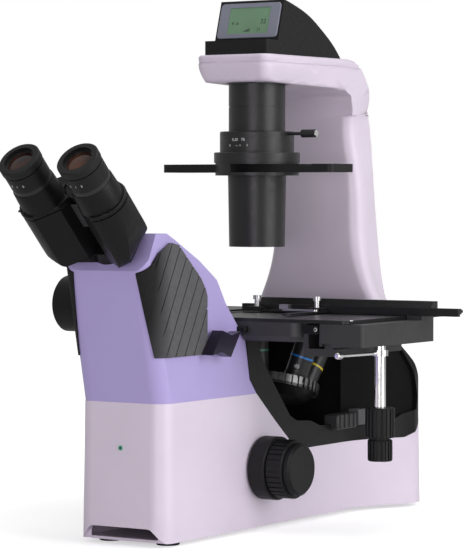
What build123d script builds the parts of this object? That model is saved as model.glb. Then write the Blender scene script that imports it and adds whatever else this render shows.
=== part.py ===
from build123d import *
from math import acos, atan2, cos, degrees, radians, sin, sqrt, tan
import os

# Inverted microscope, millimetres.
# Origin: the bench point under the optical axis. +X is the user's right, +Y points away from the user, +Z is up.

os.makedirs("parts", exist_ok=True)

# Clearances
slip = 0.05
gap = 0.3
overrun = 1.0

# Base and lower body
foot_height = 4.0
foot_radius = 11.0
foot_inset = 20.0
foot_rim = 2.0
base_wall = 4.5
base_half_front = 49.5
base_draft_inset = 2.0
base_front_y = -234.5
base_rear_y = 208.0
base_half_rear = 80.5
flare_start_y = 88.0
flare_mid_x = 67.0
flare_mid_y = 148.0
flare_end_y = 178.0
base_front_corner = 17.0
base_rear_corner = 29.0
seam_z = 131.0
deck_z = 72.0
bottom_plate_thickness = 2.5
arch_half_width = 33.0
arch_half_foot = 46.0
arch_height = 13.0
arch_corner = 8.0
rear_shoulder_z = 115.0
rear_lean_radius = 95.0

# Front housing that carries the head
housing_half = 47.5
housing_wall = 4.0
housing_edge = 15.0
housing_top_edge = 3.0
front_lean = 26.0
housing_corner = 16.0
housing_draft = 2.5
front_top_z = 252.0
ridge_z = 288.0
housing_top_shares = [(0.89, 1), (0.798, 0.987), (0.718, 0.949), (0.472, 0.822), (0.288, 0.701), (0.196, 0.554), (0.067, 0.408), (0, 0.331)]

# Grip pads
pad_thickness = 3.0
pad_proud = 1.6
pad_rib_pitch = 15.0
pad_rib_depth = 1.0
pad_rib_width = 1.4
pad_rib_slope = 62.0
pad_rib_count = 8
pad_shares = [(0.779, 0.93), (0.706, 0.917), (0.65, 0.866), (0.485, 0.72), (0.436, 0.656), (0.417, 0.611), (0.417, 0.325), (0.436, 0.28), (0.485, 0.268), (1.025, 0.268), (1.025, 0.732), (0.89, 0.873)]
pad_front_top_x = 32.0
pad_front_low_x = 42.0

# Side frames round the nosepiece bay
frame_wall = 4.0
frame_inset = 1.5
frame_top_z = 183.0
frame_front_y = -95.0
frame_rear_y = 198.0
frame_edge_shares = [(0, 1), (0.01, 0.874), (0.024, 0.658), (0.065, 0.532), (0.181, 0.27), (0.276, 0.072), (0.324, 0.018), (0.365, 0)]
frame_back_shares = [(0.887, 0), (0.939, 0.045), (0.98, 0.144), (0.997, 0.315), (1, 0.423)]
frame_rise_shares = [(0.966, 0.568), (0.922, 0.712), (0.877, 0.838), (0.836, 1)]
window_shares = [(0.072, 1.02), (0.072, 0.946), (0.113, 0.775), (0.174, 0.586), (0.27, 0.306), (0.314, 0.252), (0.406, 0.234), (0.464, 0.18), (0.597, 0.162), (0.843, 0.162), (0.877, 0.216), (0.949, 0.252), (0.956, 0.378), (0.925, 0.613), (0.87, 0.838), (0.829, 0.946), (0.829, 1.02)]
bay_radius = 61.0
bay_centre_y = 45.5
bay_front_y = 78.0
bay_recess = 6.0
bay_recess_y = 96.0

# Arm
column_front_y = 111.0
arm_half_head = 42.0
arm_half_neck = 46.5
arm_front_y = -48.0
arm_under_front_z = 430.0
arm_top_z = 456.0
arm_seam_z = 448.0
arm_under_drop = 4.0
arm_inner_radius = 20.0
arm_back_radius = 54.0
arm_rear_y = 154.0
arm_corner = 11.0
arm_edge = 3.0
neck_z = 400.0
column_front_y = 111.0
column_rear_y = 190.0
column_lean = 5.0
foot_half = 79.0
foot_rear_half = 66.0
column_height_shares = [0, 0.129, 0.263, 0.401, 0.793, 1]
column_half_shares = [1, 0.962, 0.785, 0.696, 0.62, 0.589]
column_taper_shares = [0.77, 0.7, 0.85, 0.909, 0.918, 0.925]
column_rear_shares = [1, 0.747, 0.696, 0.658, 0.589, 0.557]
column_corner_shares = [0.12, 0.14, 0.2, 0.25, 0.25, 0.25]

# Display
hood_half = 36.5
hood_top_z = 510.0
hood_front_y = -39.0
hood_rear_y = 100.0
step_top_z = 470.0
panel_low_y = -20.0
panel_high_y = -8.0
hood_edge = 2.5
hood_back_shares = [(0.439, 0.855), (0.576, 0.725), (0.712, 0.54), (0.856, 0.315)]
bezel_width = 69.0
bezel_height = 36.0
bezel_corner = 4.0
bezel_thickness = 2.0
bezel_proud = 1.2
screen_width = 47.0
screen_height = 27.0
screen_thickness = 1.2
screen_rise = 1.0

# Condenser, radii and heights
condenser_flange_radius = 30.5
condenser_flange_thickness = 2.4
condenser_tube_radius = 27.8
condenser_tube_bore = 23.0
condenser_groove_z = 406.7
condenser_groove = 0.8
condenser_top_z = 431.0
condenser_spigot_radius = 24.0
condenser_spigot = 4.0
sleeve_radius = 36.5
sleeve_top_z = 382.0
sleeve_bottom_z = 361.6
sleeve_bore = 20.0
iris_ring_height = 5.0
tube_seat_depth = 10.0
lever_radius = 1.6
lever_z = 379.6
lever_knob_radius = 3.9
lever_knob_start = 52.0
lever_knob_end = 68.0
clamp_ring_radius = 42.3
clamp_ring_bottom_z = 351.4
holder_radius = 41.0
holder_bottom_z = 339.0
slider_thickness = 8.0
slider_z = 346.0
slider_width = 44.0
slider_half_length = 98.5
slider_aperture_pitch = 40.0
slider_aperture_radius = 15.0
slider_travel = 38.0
slider_end_radius = 6.0
slider_notch_start = 60.8
slider_notch_end = 75.5
slider_notch_depth = 2.6
front_wall_end_x = -5.0
lens_radius_condenser = 24.6
lens_lip = 2.2
lens_lip_height = 2.0
barrel_radius = 28.6
barrel_tip_radius = 27.4
barrel_bottom_z = 269.2
barrel_wall = 3.0
lens_thickness = 6.0

# Stage
stage_half_x = 113.5
stage_half_y = 104.0
stage_bottom_z = 183.0
stage_body_top_z = 201.2
stage_top_z = 204.5
stage_corner = 12.0
stage_chamfer = 5.0
stage_wall = 6.0
insert_radius = 55.0
insert_thickness = 2.0
insert_ledge = 3.0
insert_bore_radius = 14.0
plate_right_x = 163.4
carriage_left_x = 132.4
carriage_right_x = 180.4
carriage_bottom_z = 180.0
carriage_length = 135.0
carriage_edge = 3.0
shelf_right_x = 150.0
shelf_bottom_z = 170.5
shelf_thickness = 7.0
bracket_wall = 5.5
bracket_front_y = -99.0
bracket_length = 122.0
stage_pad_half = 6.0
stage_front_relief = 13.0
riser_gap = 0.6
riser_front_y = 8.0
guide_width = 9.0
guide_height = 5.0
guide_x = 141.0
x_guide_front_y = 17.3
x_guide_depth = 13.5
x_guide_left_x = -8.0
x_guide_right_x = 185.0
x_guide_face_z = 212.8
x_guide_top_z = 218.5
x_slide_left_x = -24.0
x_slide_right_x = 218.0
x_slide_depth = 7.0
x_slide_bottom_z = 207.3
x_slide_top_z = 212.5
tongue_height = 2.6
tongue_depth = 2.8
rack_height = 2.3
rack_depth = 4.0
rack_pitch = 2.0
holder_thickness = 1.8
holder_left_x = -26.0
holder_right_x = 76.0
holder_arm = 9.0
holder_reach = 62.0
holder_depth = 12.0
lug_half = 8.0
lug_height = 3.0
post_radius = 2.5
post_head_radius = 3.9
post_height = 14.0
post_head_height = 4.0
post_left_x = -2.5
post_right_x = 66.5
post_y = 4.0
finger_width = 6.0
finger_length = 34.0
finger_thickness = 1.6
finger_pivot_y = -8.0
finger_pin_radius = 2.0
thumb_width = 10.0
thumb_height = 4.2
stage_travel_x = 60.0
stage_travel_y = 39.0

# Drop handle
drop_x = 165.0
drop_y = -45.0
drop_tube_radius = 5.3
drop_tube_bore = 3.05
drop_shaft_radius = 3.0
drop_collar_radius = 7.5
drop_collar_top_z = 175.0
drop_collar_height = 5.6
y_knob_radius = 14.0
y_knob_top_z = 120.8
y_knob_bottom_z = 92.7
x_knob_radius = 11.7
x_knob_bottom_z = 70.7
x_knob_top_z = 90.8
knob_neck_radius = 9.4
knob_neck_height = 1.9
clamp_rod_radius = 1.6
clamp_ball_radius = 3.2
clamp_length = 60.0
clamp_turn = 260.0
clamp_z = 172.0
tube_engagement = 8.0
knob_socket = 10.0
knob_edge = 1.0
drop_rib_count = 20

# Focus drive
focus_y = -66.6
focus_z = 60.0
focus_boss_radius = 24.0
focus_collar_radius = 29.0
ring_inner_x = 50.0
ring_outer_x = 68.0
ring_radius = 30.3
coarse_outer_x = 86.0
coarse_radius = 28.0
fine_outer_x = 93.0
fine_radius = 25.0
fine_face_radius = 22.5
coarse_shaft_radius = 4.0
coarse_bore_radius = 2.6
fine_shaft_radius = 2.55
rib_count_coarse = 32
rib_depth = 0.9
rib_width = 1.5
pinion_teeth = 15
gear_module = 0.8
tooth_backlash = 0.25

# Nosepiece
nose_tilt = 16.0
nose_y = 30.0
nose_z = 132.0
turret_radius = 46.0
turret_half_height = 5.0
turret_rib_count = 40
turret_rib_depth = 1.6
turret_rib_width = 3.4
turret_places = 5
mount_radius = 43.5
mount_low_radius = 34.0
mount_height = 9.0
pivot_radius = 8.0
pivot_head_radius = 11.0
pivot_head_height = 2.5
running_gap = 0.1
carrier_tube_radius = 22.0
carrier_tube_bore = 15.0
carrier_tube_bottom_z = 38.0
rack_arm_height = 6.0
rack_arm_half = 6.0
rack_bar_half = 4.0
rack_bar_depth = 6.0
rack_bar_top_z = 84.0
pinion_half = 5.0
guide_tube_wall = 5.0
guide_outer = carrier_tube_radius + slip + guide_tube_wall
guide_tube_top_z = 92.0
guide_tube_bottom_z = 52.0
lift_up = 7.0
lift_down = 1.5
parfocal_length = 60.0
working_distance_4x = 18.0
working_distance_10x = 10.0
working_distance_20x = 6.0
working_distance_40x = 3.0
tip_radius_4x = 9.0
tip_radius_10x = 7.5
tip_radius_20x = 6.0
tip_radius_40x = 5.0
thread_radius = 10.16
thread_length = 5.0
shoulder_radius = 12.0
spot_face_radius = 13.0
body_radius = 11.5
nose_cone = 9.0
band_groove = 0.5
objective_collar = 6.0
mirror_half = 19.0
mirror_top_z = 34.0

# Head
head_tilt = 45.0
eye_y = -343.3
eye_z = 352.3
eye_spread = 63.7
hinge_radius = 38.0
head_seat_depth = 125.0
hub_radius = 17.0
hub_gap = 0.4
hub_cap_height = 3.0
head_base_radius = 25.0
head_base_shift = 1.0
prism_bottom = 9.0
prism_top = 69.4
prism_round = 24.0
prism_inner = 22.0
prism_face = 9.0
prism_boat_x = 47.0
prism_boat_rise = 18.0
prism_boat_flat_x = 29.0
prism_flare = 6.0
plate_radius = 23.0
plate_gap = 0.8
plate_step = 1.2
eye_tube_foot = 75.0
eye_tube_radius = 20.0
eye_tube_top = 96.0
eyepiece_barrel_radius = 15.0
eyepiece_body_radius = 16.5
eyepiece_sleeve_radius = 19.0
eyepiece_foot = 10.0
dioptre_low = 100.5
dioptre_high = 116.0
dioptre_radius = 19.2
cup_low = 116.6
cup_high = 125.0
cup_radius = 19.8
cup_rim = 1.0
cup_mouth_radius = 14.0
lens_radius = 12.5
lens_sink = 3.0
spread_least = 50.0
spread_most = 75.0

# Ports and controls
port_y = -216.0
port_z = 219.5
port_radius = 26.0
port_inner_x = 41.0
port_outer_x = 72.0
port_bore_radius = 19.0
port_rim = 1.5
port_cap_thickness = 8.0
path_shares = [(0.38, 0.408), (0.285, 0.376), (0.19, 0.395), (0.294, 0.248), (0.39, 0.282), (0.485, 0.268)]
path_inner_x = 50.0
path_outer_x = 62.0
path_stem_radius = 4.0
path_stem_inner_x = 30.0
path_travel = 12.0
dial_radius = 14.0
dial_shaft_radius = 3.0
dial_length = 12.0
dial_y = -190.0
dial_z = 60.0
led_radius = 1.6
led_z = 89.5
socket_width = 28.0
socket_height = 22.0
socket_x = 35.0
socket_z = 35.0
inlet_depth = 16.0
inlet_rim = 1.5
inlet_mouth_half_x = 11.0
inlet_mouth_half_z = 8.0
switch_width = 14.0
switch_height = 20.0
switch_x = -30.0
switch_z = 35.0

stand_half = stage_half_x + base_half_rear


def keep(piece, name):
    """Label a finished piece and write its STEP file."""
    piece.part.label = name
    export_step(piece.part, f"parts/{name}.step")


def between(low, high, share):
    return low + (high - low) * share


def placed(shares, front, rear, low, high):
    """Side outline points (y, z) from shares of the box they follow."""
    return [(between(front, rear, y), between(low, high, z)) for y, z in shares]


def level(height):
    return Plane.XY.offset(height)


def filled(points):
    with BuildSketch() as face:
        with BuildLine():
            Polyline(*points, close=True)
        make_face()
    return face.sketch


def side_slab(points, left, right):
    """Slab with a (y, z) outline between two x positions."""
    with BuildPart() as slab:
        with BuildSketch(Plane.YZ.offset(left)):
            add(filled(points))
        extrude(amount=right - left)
    return slab.part


def upright(outline, low, high, taper=0):
    """Plan outline raised from one height to another."""
    with BuildPart() as block:
        with BuildSketch(level(low)):
            add(outline)
        extrude(amount=high - low, taper=taper)
    return block.part


def brick(left, right, front, rear, low, high):
    """Square-edged block between six positions."""
    with BuildSketch() as face:
        with Locations(((left + right) / 2, (front + rear) / 2)):
            Rectangle(right - left, rear - front)
    return upright(face.sketch, low, high)


def rod(place, radius, low, high, bore=0):
    """Round bar or tube along the z axis of a plane."""
    with BuildPart() as bar:
        with BuildSketch(place.offset(low)):
            Circle(radius)
            if bore:
                Circle(bore, mode=Mode.SUBTRACT)
        extrude(amount=high - low)
    return bar.part


def spun(place, outline):
    """Turn an outline of (radius, height) points round the z axis of a plane."""
    with BuildPart() as turned:
        with BuildSketch(Plane(place.origin, place.x_dir, -place.y_dir)):
            with BuildLine():
                Polyline(*outline, close=True)
            make_face()
        revolve(axis=Axis(place.origin, place.z_dir))
    return turned.part


def ribbed(place, radius, low, high, count, depth, width):
    """Grooves round a knob, as one cutter to subtract."""
    with BuildPart() as grooves:
        with BuildSketch(place.offset(low)):
            with PolarLocations(radius, count):
                Rectangle(2 * depth, width)
        extrude(amount=high - low)
    return grooves.part


def body_outline(inset):
    """Plan outline of the lower body: narrow in front, flared on each side towards the rear."""
    with BuildSketch() as plan:
        with BuildLine():
            side = Line((base_half_front, base_front_y), (base_half_front, flare_start_y))
            out = TangentArc(side @ 1, (flare_mid_x, flare_mid_y), tangent=side % 1)
            back = TangentArc(out @ 1, (base_half_rear, flare_end_y), tangent=out % 1)
            Polyline(back @ 1, (base_half_rear, base_rear_y), (0, base_rear_y))
            Line((0, base_front_y), side @ 0)
            mirror(about=Plane.YZ)
        make_face()
        fillet(plan.vertices().group_by(Axis.Y)[0], base_front_corner)
        fillet(plan.vertices().group_by(Axis.Y)[-1], base_rear_corner)
        if inset:
            offset(amount=-inset, mode=Mode.REPLACE)
    return plan.sketch


# Side outlines shared by the base, the frames and the housing
frame_edge = placed(frame_edge_shares, frame_front_y, frame_rear_y, deck_z, frame_top_z)
frame_back = placed(frame_back_shares, frame_front_y, frame_rear_y, deck_z, frame_top_z)
frame_rise = placed(frame_rise_shares, frame_front_y, frame_rear_y, deck_z, frame_top_z)
window = placed(window_shares, frame_front_y, frame_rear_y, deck_z, frame_top_z)
seam_y = frame_edge[3][0]
rear_seam_z = frame_back[-1][1]
base_top_front_y = base_front_y + base_draft_inset
front_top_y = base_top_front_y - front_lean

# Base casting, hollow and open underneath
base_taper = degrees(atan2(base_draft_inset, seam_z - foot_height))
base_side = [
    (base_front_y - overrun, foot_height),
    (base_front_y - overrun, frame_edge[3][1]),
    *frame_edge[3:],
    *frame_back,
    (base_rear_y + overrun, rear_seam_z),
    (base_rear_y + overrun, foot_height),
]
hollow_side = [
    (base_front_y - overrun, foot_height - overrun),
    (base_front_y - overrun, seam_z - base_wall),
    (seam_y - base_wall, seam_z - base_wall),
    (frame_edge[5][0] - base_wall, frame_edge[5][1] - base_wall),
    (frame_edge[7][0], deck_z - base_wall),
    (base_rear_y + overrun, deck_z - base_wall),
    (base_rear_y + overrun, foot_height - overrun),
]
with BuildPart() as base_hollow:
    add(upright(body_outline(base_wall + base_draft_inset), foot_height - overrun, seam_z))
    add(side_slab(hollow_side, -stand_half, stand_half), mode=Mode.INTERSECT)
with BuildPart() as arch_cutter:
    with BuildSketch(Plane.XZ.offset(-base_front_y + overrun)) as arch:
        add(filled([
            (-arch_half_foot, 0),
            (arch_half_foot, 0),
            (arch_half_foot, foot_height),
            (arch_half_width, foot_height + arch_height),
            (-arch_half_width, foot_height + arch_height),
            (-arch_half_foot, foot_height),
        ]))
        fillet(arch.vertices().group_by(Axis.Y)[-1], arch_corner)
    extrude(amount=-(base_wall + base_draft_inset + 2 * overrun))
focus_right = Plane((0, focus_y, focus_z), x_dir=(0, 1, 0), z_dir=(1, 0, 0))
focus_left = Plane((0, focus_y, focus_z), x_dir=(0, 1, 0), z_dir=(-1, 0, 0))
dial_plane = Plane((0, dial_y, dial_z), x_dir=(0, 1, 0), z_dir=(-1, 0, 0))
boss_inner_x = base_half_front - base_wall - base_draft_inset
with BuildPart() as base_casting:
    add(upright(body_outline(0), foot_height, seam_z, base_taper))
    add(side_slab(base_side, -stand_half, stand_half), mode=Mode.INTERSECT)
    add(base_hollow.part, mode=Mode.SUBTRACT)
    add(rod(focus_right, focus_boss_radius, boss_inner_x, ring_inner_x - slip))
    add(rod(focus_left, focus_collar_radius, boss_inner_x, ring_outer_x))
    add(rod(Plane.XY, guide_outer, guide_tube_bottom_z, guide_tube_top_z))
    add(arch_cutter.part, mode=Mode.SUBTRACT)
    add(rod(focus_right, coarse_shaft_radius + slip, -stand_half, stand_half), mode=Mode.SUBTRACT)
    add(rod(dial_plane, dial_shaft_radius + gap, 0, stand_half), mode=Mode.SUBTRACT)
    add(rod(Plane.XY, carrier_tube_radius + slip, guide_tube_bottom_z - overrun, seam_z), mode=Mode.SUBTRACT)
    with BuildSketch(Plane.XZ.offset(-base_rear_y - overrun)):
        with Locations((socket_x, socket_z)):
            Rectangle(socket_width, socket_height)
        with Locations((switch_x, switch_z)):
            Rectangle(switch_width, switch_height)
    extrude(amount=base_wall + base_draft_inset + 2 * overrun, mode=Mode.SUBTRACT)
    with BuildSketch(Plane.XZ.offset(-base_front_y + overrun)):
        with Locations((0, led_z)):
            Circle(led_radius)
    extrude(amount=-(base_wall + base_draft_inset + 2 * overrun), mode=Mode.SUBTRACT)
keep(base_casting, "base_casting")

# Bottom plate let into the open underside
with BuildPart() as bottom_plate:
    add(upright(body_outline(base_wall + base_draft_inset + slip), foot_height, foot_height + bottom_plate_thickness))
keep(bottom_plate, "bottom_plate")

# Four rubber feet under the plate
foot_front_y = base_front_y + foot_inset + foot_radius
foot_rear_y = base_rear_y - foot_inset - foot_radius
foot_x = base_half_front - foot_rim - base_wall - foot_radius
with BuildPart() as rubber_feet:
    with BuildSketch(Plane.XY):
        with Locations(*[(x, y) for x in (-foot_x, foot_x) for y in (foot_front_y, foot_rear_y)]):
            Circle(foot_radius)
    extrude(amount=foot_height)
    chamfer(rubber_feet.edges().group_by(Axis.Z)[0], foot_rim / 2)
keep(rubber_feet, "rubber_feet")


# Front housing: the plan outline is raised along the lean of the front face
def housing_solid(inset):
    """Housing envelope, drawn inwards by an inset, without its slanted top."""
    with BuildSketch() as plan:
        with Locations((0, (base_top_front_y + seam_y) / 2)):
            RectangleRounded(
                2 * (housing_half - inset),
                seam_y - base_top_front_y + 2 * front_lean - 2 * inset,
                housing_corner - inset,
            )
    with BuildPart() as envelope:
        with BuildSketch(level(seam_z)):
            add(plan.sketch.moved(Location((0, front_lean, 0))))
        extrude(amount=housing_rise, dir=(0, -front_lean, front_top_z - seam_z))
    return envelope.part


housing_rise = ridge_z - seam_z + overrun
housing_top = placed(housing_top_shares, frame_front_y, front_top_y, seam_z, ridge_z)
housing_side = [
    (base_top_front_y, seam_z),
    (front_top_y, front_top_z),
    *housing_top,
    *frame_edge[1:4],
]
with BuildSketch() as housing_face:
    add(filled(housing_side))
with BuildSketch() as housing_inside:
    add(filled(housing_side))
    offset(amount=-housing_wall, kind=Kind.INTERSECTION, mode=Mode.REPLACE)
    with Locations(((base_top_front_y + seam_y) / 2, seam_z)):
        Rectangle(seam_y - base_top_front_y - 2 * housing_wall, 3 * housing_wall)
with BuildSketch() as housing_front:
    with BuildLine():
        Polyline(
            (-housing_half, seam_z - overrun),
            (-housing_half + housing_draft, ridge_z + overrun),
            (housing_half - housing_draft, ridge_z + overrun),
            (housing_half, seam_z - overrun),
            close=True,
        )
    make_face()
with BuildPart() as housing_hollow:
    add(housing_solid(housing_wall))
    with BuildSketch(Plane.YZ.offset(-stand_half)):
        add(housing_inside.sketch)
    extrude(amount=2 * stand_half, mode=Mode.INTERSECT)
with BuildPart() as housing_shell:
    add(housing_solid(0))
    with BuildSketch(Plane.YZ.offset(-stand_half)):
        add(housing_face.sketch)
    extrude(amount=2 * stand_half, mode=Mode.INTERSECT)
    with BuildSketch(Plane.XZ.offset(-base_rear_y)):
        add(housing_front.sketch)
    extrude(amount=base_rear_y + stand_half * 2, mode=Mode.INTERSECT)
    add(housing_hollow.part, mode=Mode.SUBTRACT)

# Grip pads let into the sides of the housing
pad_side = placed(pad_shares, frame_front_y, front_top_y, seam_z, ridge_z)
pad_low_z, pad_high_z = min(z for _, z in pad_side), max(z for _, z in pad_side)
with BuildSketch() as pad_front:
    with BuildLine():
        Polyline(
            (pad_front_low_x, pad_low_z - overrun),
            (pad_front_top_x, pad_high_z + overrun),
            (stand_half, pad_high_z + overrun),
            (stand_half, pad_low_z - overrun),
            close=True,
        )
    make_face()
with BuildPart() as pad_block:
    add(housing_solid(-pad_proud))
    add(housing_solid(pad_thickness - pad_proud), mode=Mode.SUBTRACT)
    add(side_slab(pad_side, -stand_half, stand_half), mode=Mode.INTERSECT)
    with BuildSketch(Plane.XZ.offset(-base_rear_y)):
        add(pad_front.sketch)
    extrude(amount=base_rear_y + 2 * stand_half, mode=Mode.INTERSECT)
with BuildPart() as pad_ribs:
    with BuildSketch(Plane.YZ.offset(housing_half + pad_proud - pad_rib_depth)):
        with Locations(((pad_side[5][0] + front_top_y) / 2, (pad_low_z + pad_high_z) / 2)):
            with GridLocations(pad_rib_pitch, pad_rib_pitch, pad_rib_count, 1):
                SlotOverall(2 * pad_rib_pitch * pad_rib_count, pad_rib_width, rotation=pad_rib_slope)
    extrude(amount=pad_thickness)
    add(side_slab(pad_side, 0, stand_half), mode=Mode.INTERSECT)
with BuildPart() as pad_pair:
    add(pad_block.part)
    mirror(about=Plane.YZ)
port = Plane((0, port_y, port_z), x_dir=(0, 1, 0), z_dir=(-1, 0, 0))
path_side = placed(path_shares, frame_front_y, front_top_y, seam_z, ridge_z)
path_middle_y = (path_side[1][0] + path_side[4][0]) / 2
path_middle_z = (path_side[1][1] + path_side[4][1]) / 2
path_stem = Plane((0, path_middle_y, path_middle_z), x_dir=(0, 1, 0), z_dir=(1, 0, 0))
with BuildPart() as front_housing:
    add(housing_shell.part)
    add(pad_pair.part, mode=Mode.SUBTRACT)
    add(rod(port, port_radius + slip, port_inner_x - housing_wall, stand_half), mode=Mode.SUBTRACT)
    add(rod(path_stem, path_stem_radius + slip, path_stem_inner_x, stand_half), mode=Mode.SUBTRACT)
keep(front_housing, "front_housing")
with BuildPart() as grip_pads:
    add(pad_block.part)
    add(pad_ribs.part, mode=Mode.SUBTRACT)
    mirror(about=Plane.YZ)
    add(rod(port, port_radius + gap, 0, stand_half), mode=Mode.SUBTRACT)
keep(grip_pads, "grip_pads")

# Camera port on the left and the light-path handle on the right
with BuildPart() as camera_port:
    add(spun(port, [
        (0, port_outer_x - port_cap_thickness),
        (port_bore_radius, port_outer_x - port_cap_thickness),
        (port_bore_radius, port_inner_x),
        (port_radius, port_inner_x),
        (port_radius, port_outer_x - port_rim),
        (port_radius - port_rim, port_outer_x),
        (0, port_outer_x),
    ]))
keep(camera_port, "camera_port")
with BuildPart() as light_path_handle:
    add(side_slab(path_side, path_inner_x, path_outer_x))
    add(rod(path_stem, path_stem_radius, path_stem_inner_x, path_inner_x))
keep(light_path_handle, "light_path_handle")

# Side frames round the nosepiece bay
frame_side = [*frame_edge, *frame_back, *frame_rise]
with BuildPart() as side_frames:
    add(upright(body_outline(frame_inset), deck_z, frame_top_z))
    add(upright(body_outline(frame_inset + frame_wall), deck_z, frame_top_z), mode=Mode.SUBTRACT)
    add(side_slab(frame_side, -stand_half, stand_half), mode=Mode.INTERSECT)
    add(side_slab(window, -stand_half, stand_half), mode=Mode.SUBTRACT)
keep(side_frames, "side_frames")

# Bay liner: a dark core with a round hollow facing the nosepiece
liner_inset = frame_inset + frame_wall + slip
with BuildPart() as bay_liner:
    add(upright(body_outline(liner_inset), deck_z, frame_top_z))
    liner_side = [(bay_front_y, deck_z), *frame_back, *frame_rise, (bay_front_y, frame_top_z)]
    add(side_slab(liner_side, -stand_half, stand_half), mode=Mode.INTERSECT)
    add(rod(Plane((0, bay_centre_y, deck_z)), bay_radius, -overrun, frame_top_z), mode=Mode.SUBTRACT)
keep(bay_liner, "bay_liner")


# Arm: a flared column, a rounded bend and a flat head
def column_section(index):
    """Plan outline of the column at one of its stations: a trapezoid, wide in front."""
    half = foot_half * column_half_shares[index]
    rear_half = half * column_taper_shares[index]
    rear = between(column_front_y, column_rear_y, column_rear_shares[index])
    front = column_front_y - column_lean * column_height_shares[index]
    with BuildSketch() as plan:
        add(filled([(-half, front), (half, front), (rear_half, rear), (-rear_half, rear)]))
        fillet(plan.vertices(), half * column_corner_shares[index])
    return plan.sketch


with BuildPart() as column:
    for index, share in enumerate(column_height_shares):
        with BuildSketch(level(between(frame_top_z, neck_z, share))):
            add(column_section(index))
    loft()
neck_front_y = column_front_y - column_lean
with BuildSketch() as arm_face:
    with BuildLine():
        under = Line((arm_front_y, arm_under_front_z), (neck_front_y - arm_inner_radius, arm_under_front_z - arm_under_drop))
        inner = TangentArc(under @ 1, (neck_front_y, neck_z), tangent=under % 1)
        Line(inner @ 1, (arm_rear_y, neck_z))
        back = RadiusArc((arm_rear_y, neck_z), (arm_rear_y - arm_back_radius, arm_top_z), arm_back_radius * 1.02)
        Polyline(back @ 1, (arm_front_y, arm_top_z), under @ 0)
    make_face()
with BuildSketch() as arm_plan:
    add(filled([
        (-arm_half_head, arm_front_y),
        (arm_half_head, arm_front_y),
        (arm_half_neck, neck_front_y),
        (arm_half_neck * column_taper_shares[-1], arm_rear_y),
        (-arm_half_neck * column_taper_shares[-1], arm_rear_y),
        (-arm_half_neck, neck_front_y),
    ]))
    fillet(arm_plan.vertices().group_by(Axis.Y)[0], arm_corner)
    fillet(arm_plan.vertices().group_by(Axis.Y)[-1], arm_corner)
with BuildPart() as arm_head:
    add(upright(arm_plan.sketch, neck_z, arm_top_z))
    with BuildSketch(Plane.YZ.offset(-stand_half)):
        add(arm_face.sketch)
    extrude(amount=2 * stand_half, mode=Mode.INTERSECT)
    fillet(arm_head.faces().sort_by(Axis.Z)[-1].edges(), arm_edge)
with BuildPart() as arm_column:
    add(column.part)
    add(arm_head.part)
    split(bisect_by=level(arm_seam_z), keep=Keep.BOTTOM)
    spigot_top_z = condenser_top_z + condenser_spigot
    add(rod(Plane.XY, condenser_spigot_radius + slip, condenser_top_z - overrun, spigot_top_z + gap), mode=Mode.SUBTRACT)
    add(rod(Plane.XY, condenser_flange_radius + gap, neck_z, condenser_top_z), mode=Mode.SUBTRACT)
with BuildPart() as arm_cover:
    add(arm_head.part)
    split(bisect_by=level(arm_seam_z), keep=Keep.TOP)
keep(arm_column, "arm_column")
keep(arm_cover, "arm_cover")

# Display hood on the cover, with a sloping panel in front
hood_back = placed(hood_back_shares, hood_front_y, hood_rear_y, arm_top_z, hood_top_z)
with BuildSketch() as hood_face:
    with BuildLine():
        Polyline(
            (hood_rear_y, arm_top_z),
            (hood_front_y, arm_top_z),
            (hood_front_y, step_top_z),
            (panel_low_y, step_top_z),
            (panel_high_y, hood_top_z),
        )
        Spline((panel_high_y, hood_top_z), *hood_back, (hood_rear_y, arm_top_z))
    make_face()
with BuildPart() as display_hood:
    with BuildSketch(Plane.YZ.offset(-hood_half)):
        add(hood_face.sketch)
    extrude(amount=2 * hood_half)
    hood_edges = display_hood.edges().filter_by(Axis.Z).group_by(Axis.Y)[0]
    fillet(hood_edges, hood_edge)
panel_tilt = degrees(atan2(panel_high_y - panel_low_y, hood_top_z - step_top_z))
panel_middle = (0, (panel_low_y + panel_high_y) / 2, (step_top_z + hood_top_z) / 2)
panel = Plane(panel_middle, x_dir=(1, 0, 0), z_dir=(0, -cos(radians(panel_tilt)), sin(radians(panel_tilt))))
bezel_seat = bezel_proud - bezel_thickness
with BuildPart() as display_bezel:
    with BuildSketch(panel.offset(bezel_seat)):
        RectangleRounded(bezel_width, bezel_height, bezel_corner)
    extrude(amount=bezel_thickness)
    chamfer(display_bezel.faces().sort_by(Axis(panel.origin, panel.z_dir))[-1].edges(), bezel_proud / 3)
    with BuildSketch(panel.offset(bezel_proud - screen_thickness)):
        Rectangle(screen_width, screen_height)
    extrude(amount=bezel_thickness, mode=Mode.SUBTRACT)
with BuildPart() as display_screen:
    with BuildSketch(panel.offset(bezel_proud - screen_thickness)):
        Rectangle(screen_width - slip, screen_height - slip)
    extrude(amount=screen_thickness / 2)
with BuildPart() as display_body:
    add(display_hood.part)
    with BuildSketch(panel.offset(bezel_seat)):
        RectangleRounded(bezel_width, bezel_height, bezel_corner)
    extrude(amount=bezel_thickness, mode=Mode.SUBTRACT)
keep(display_body, "display_hood")
keep(display_bezel, "display_bezel")
keep(display_screen, "display_screen")

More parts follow.
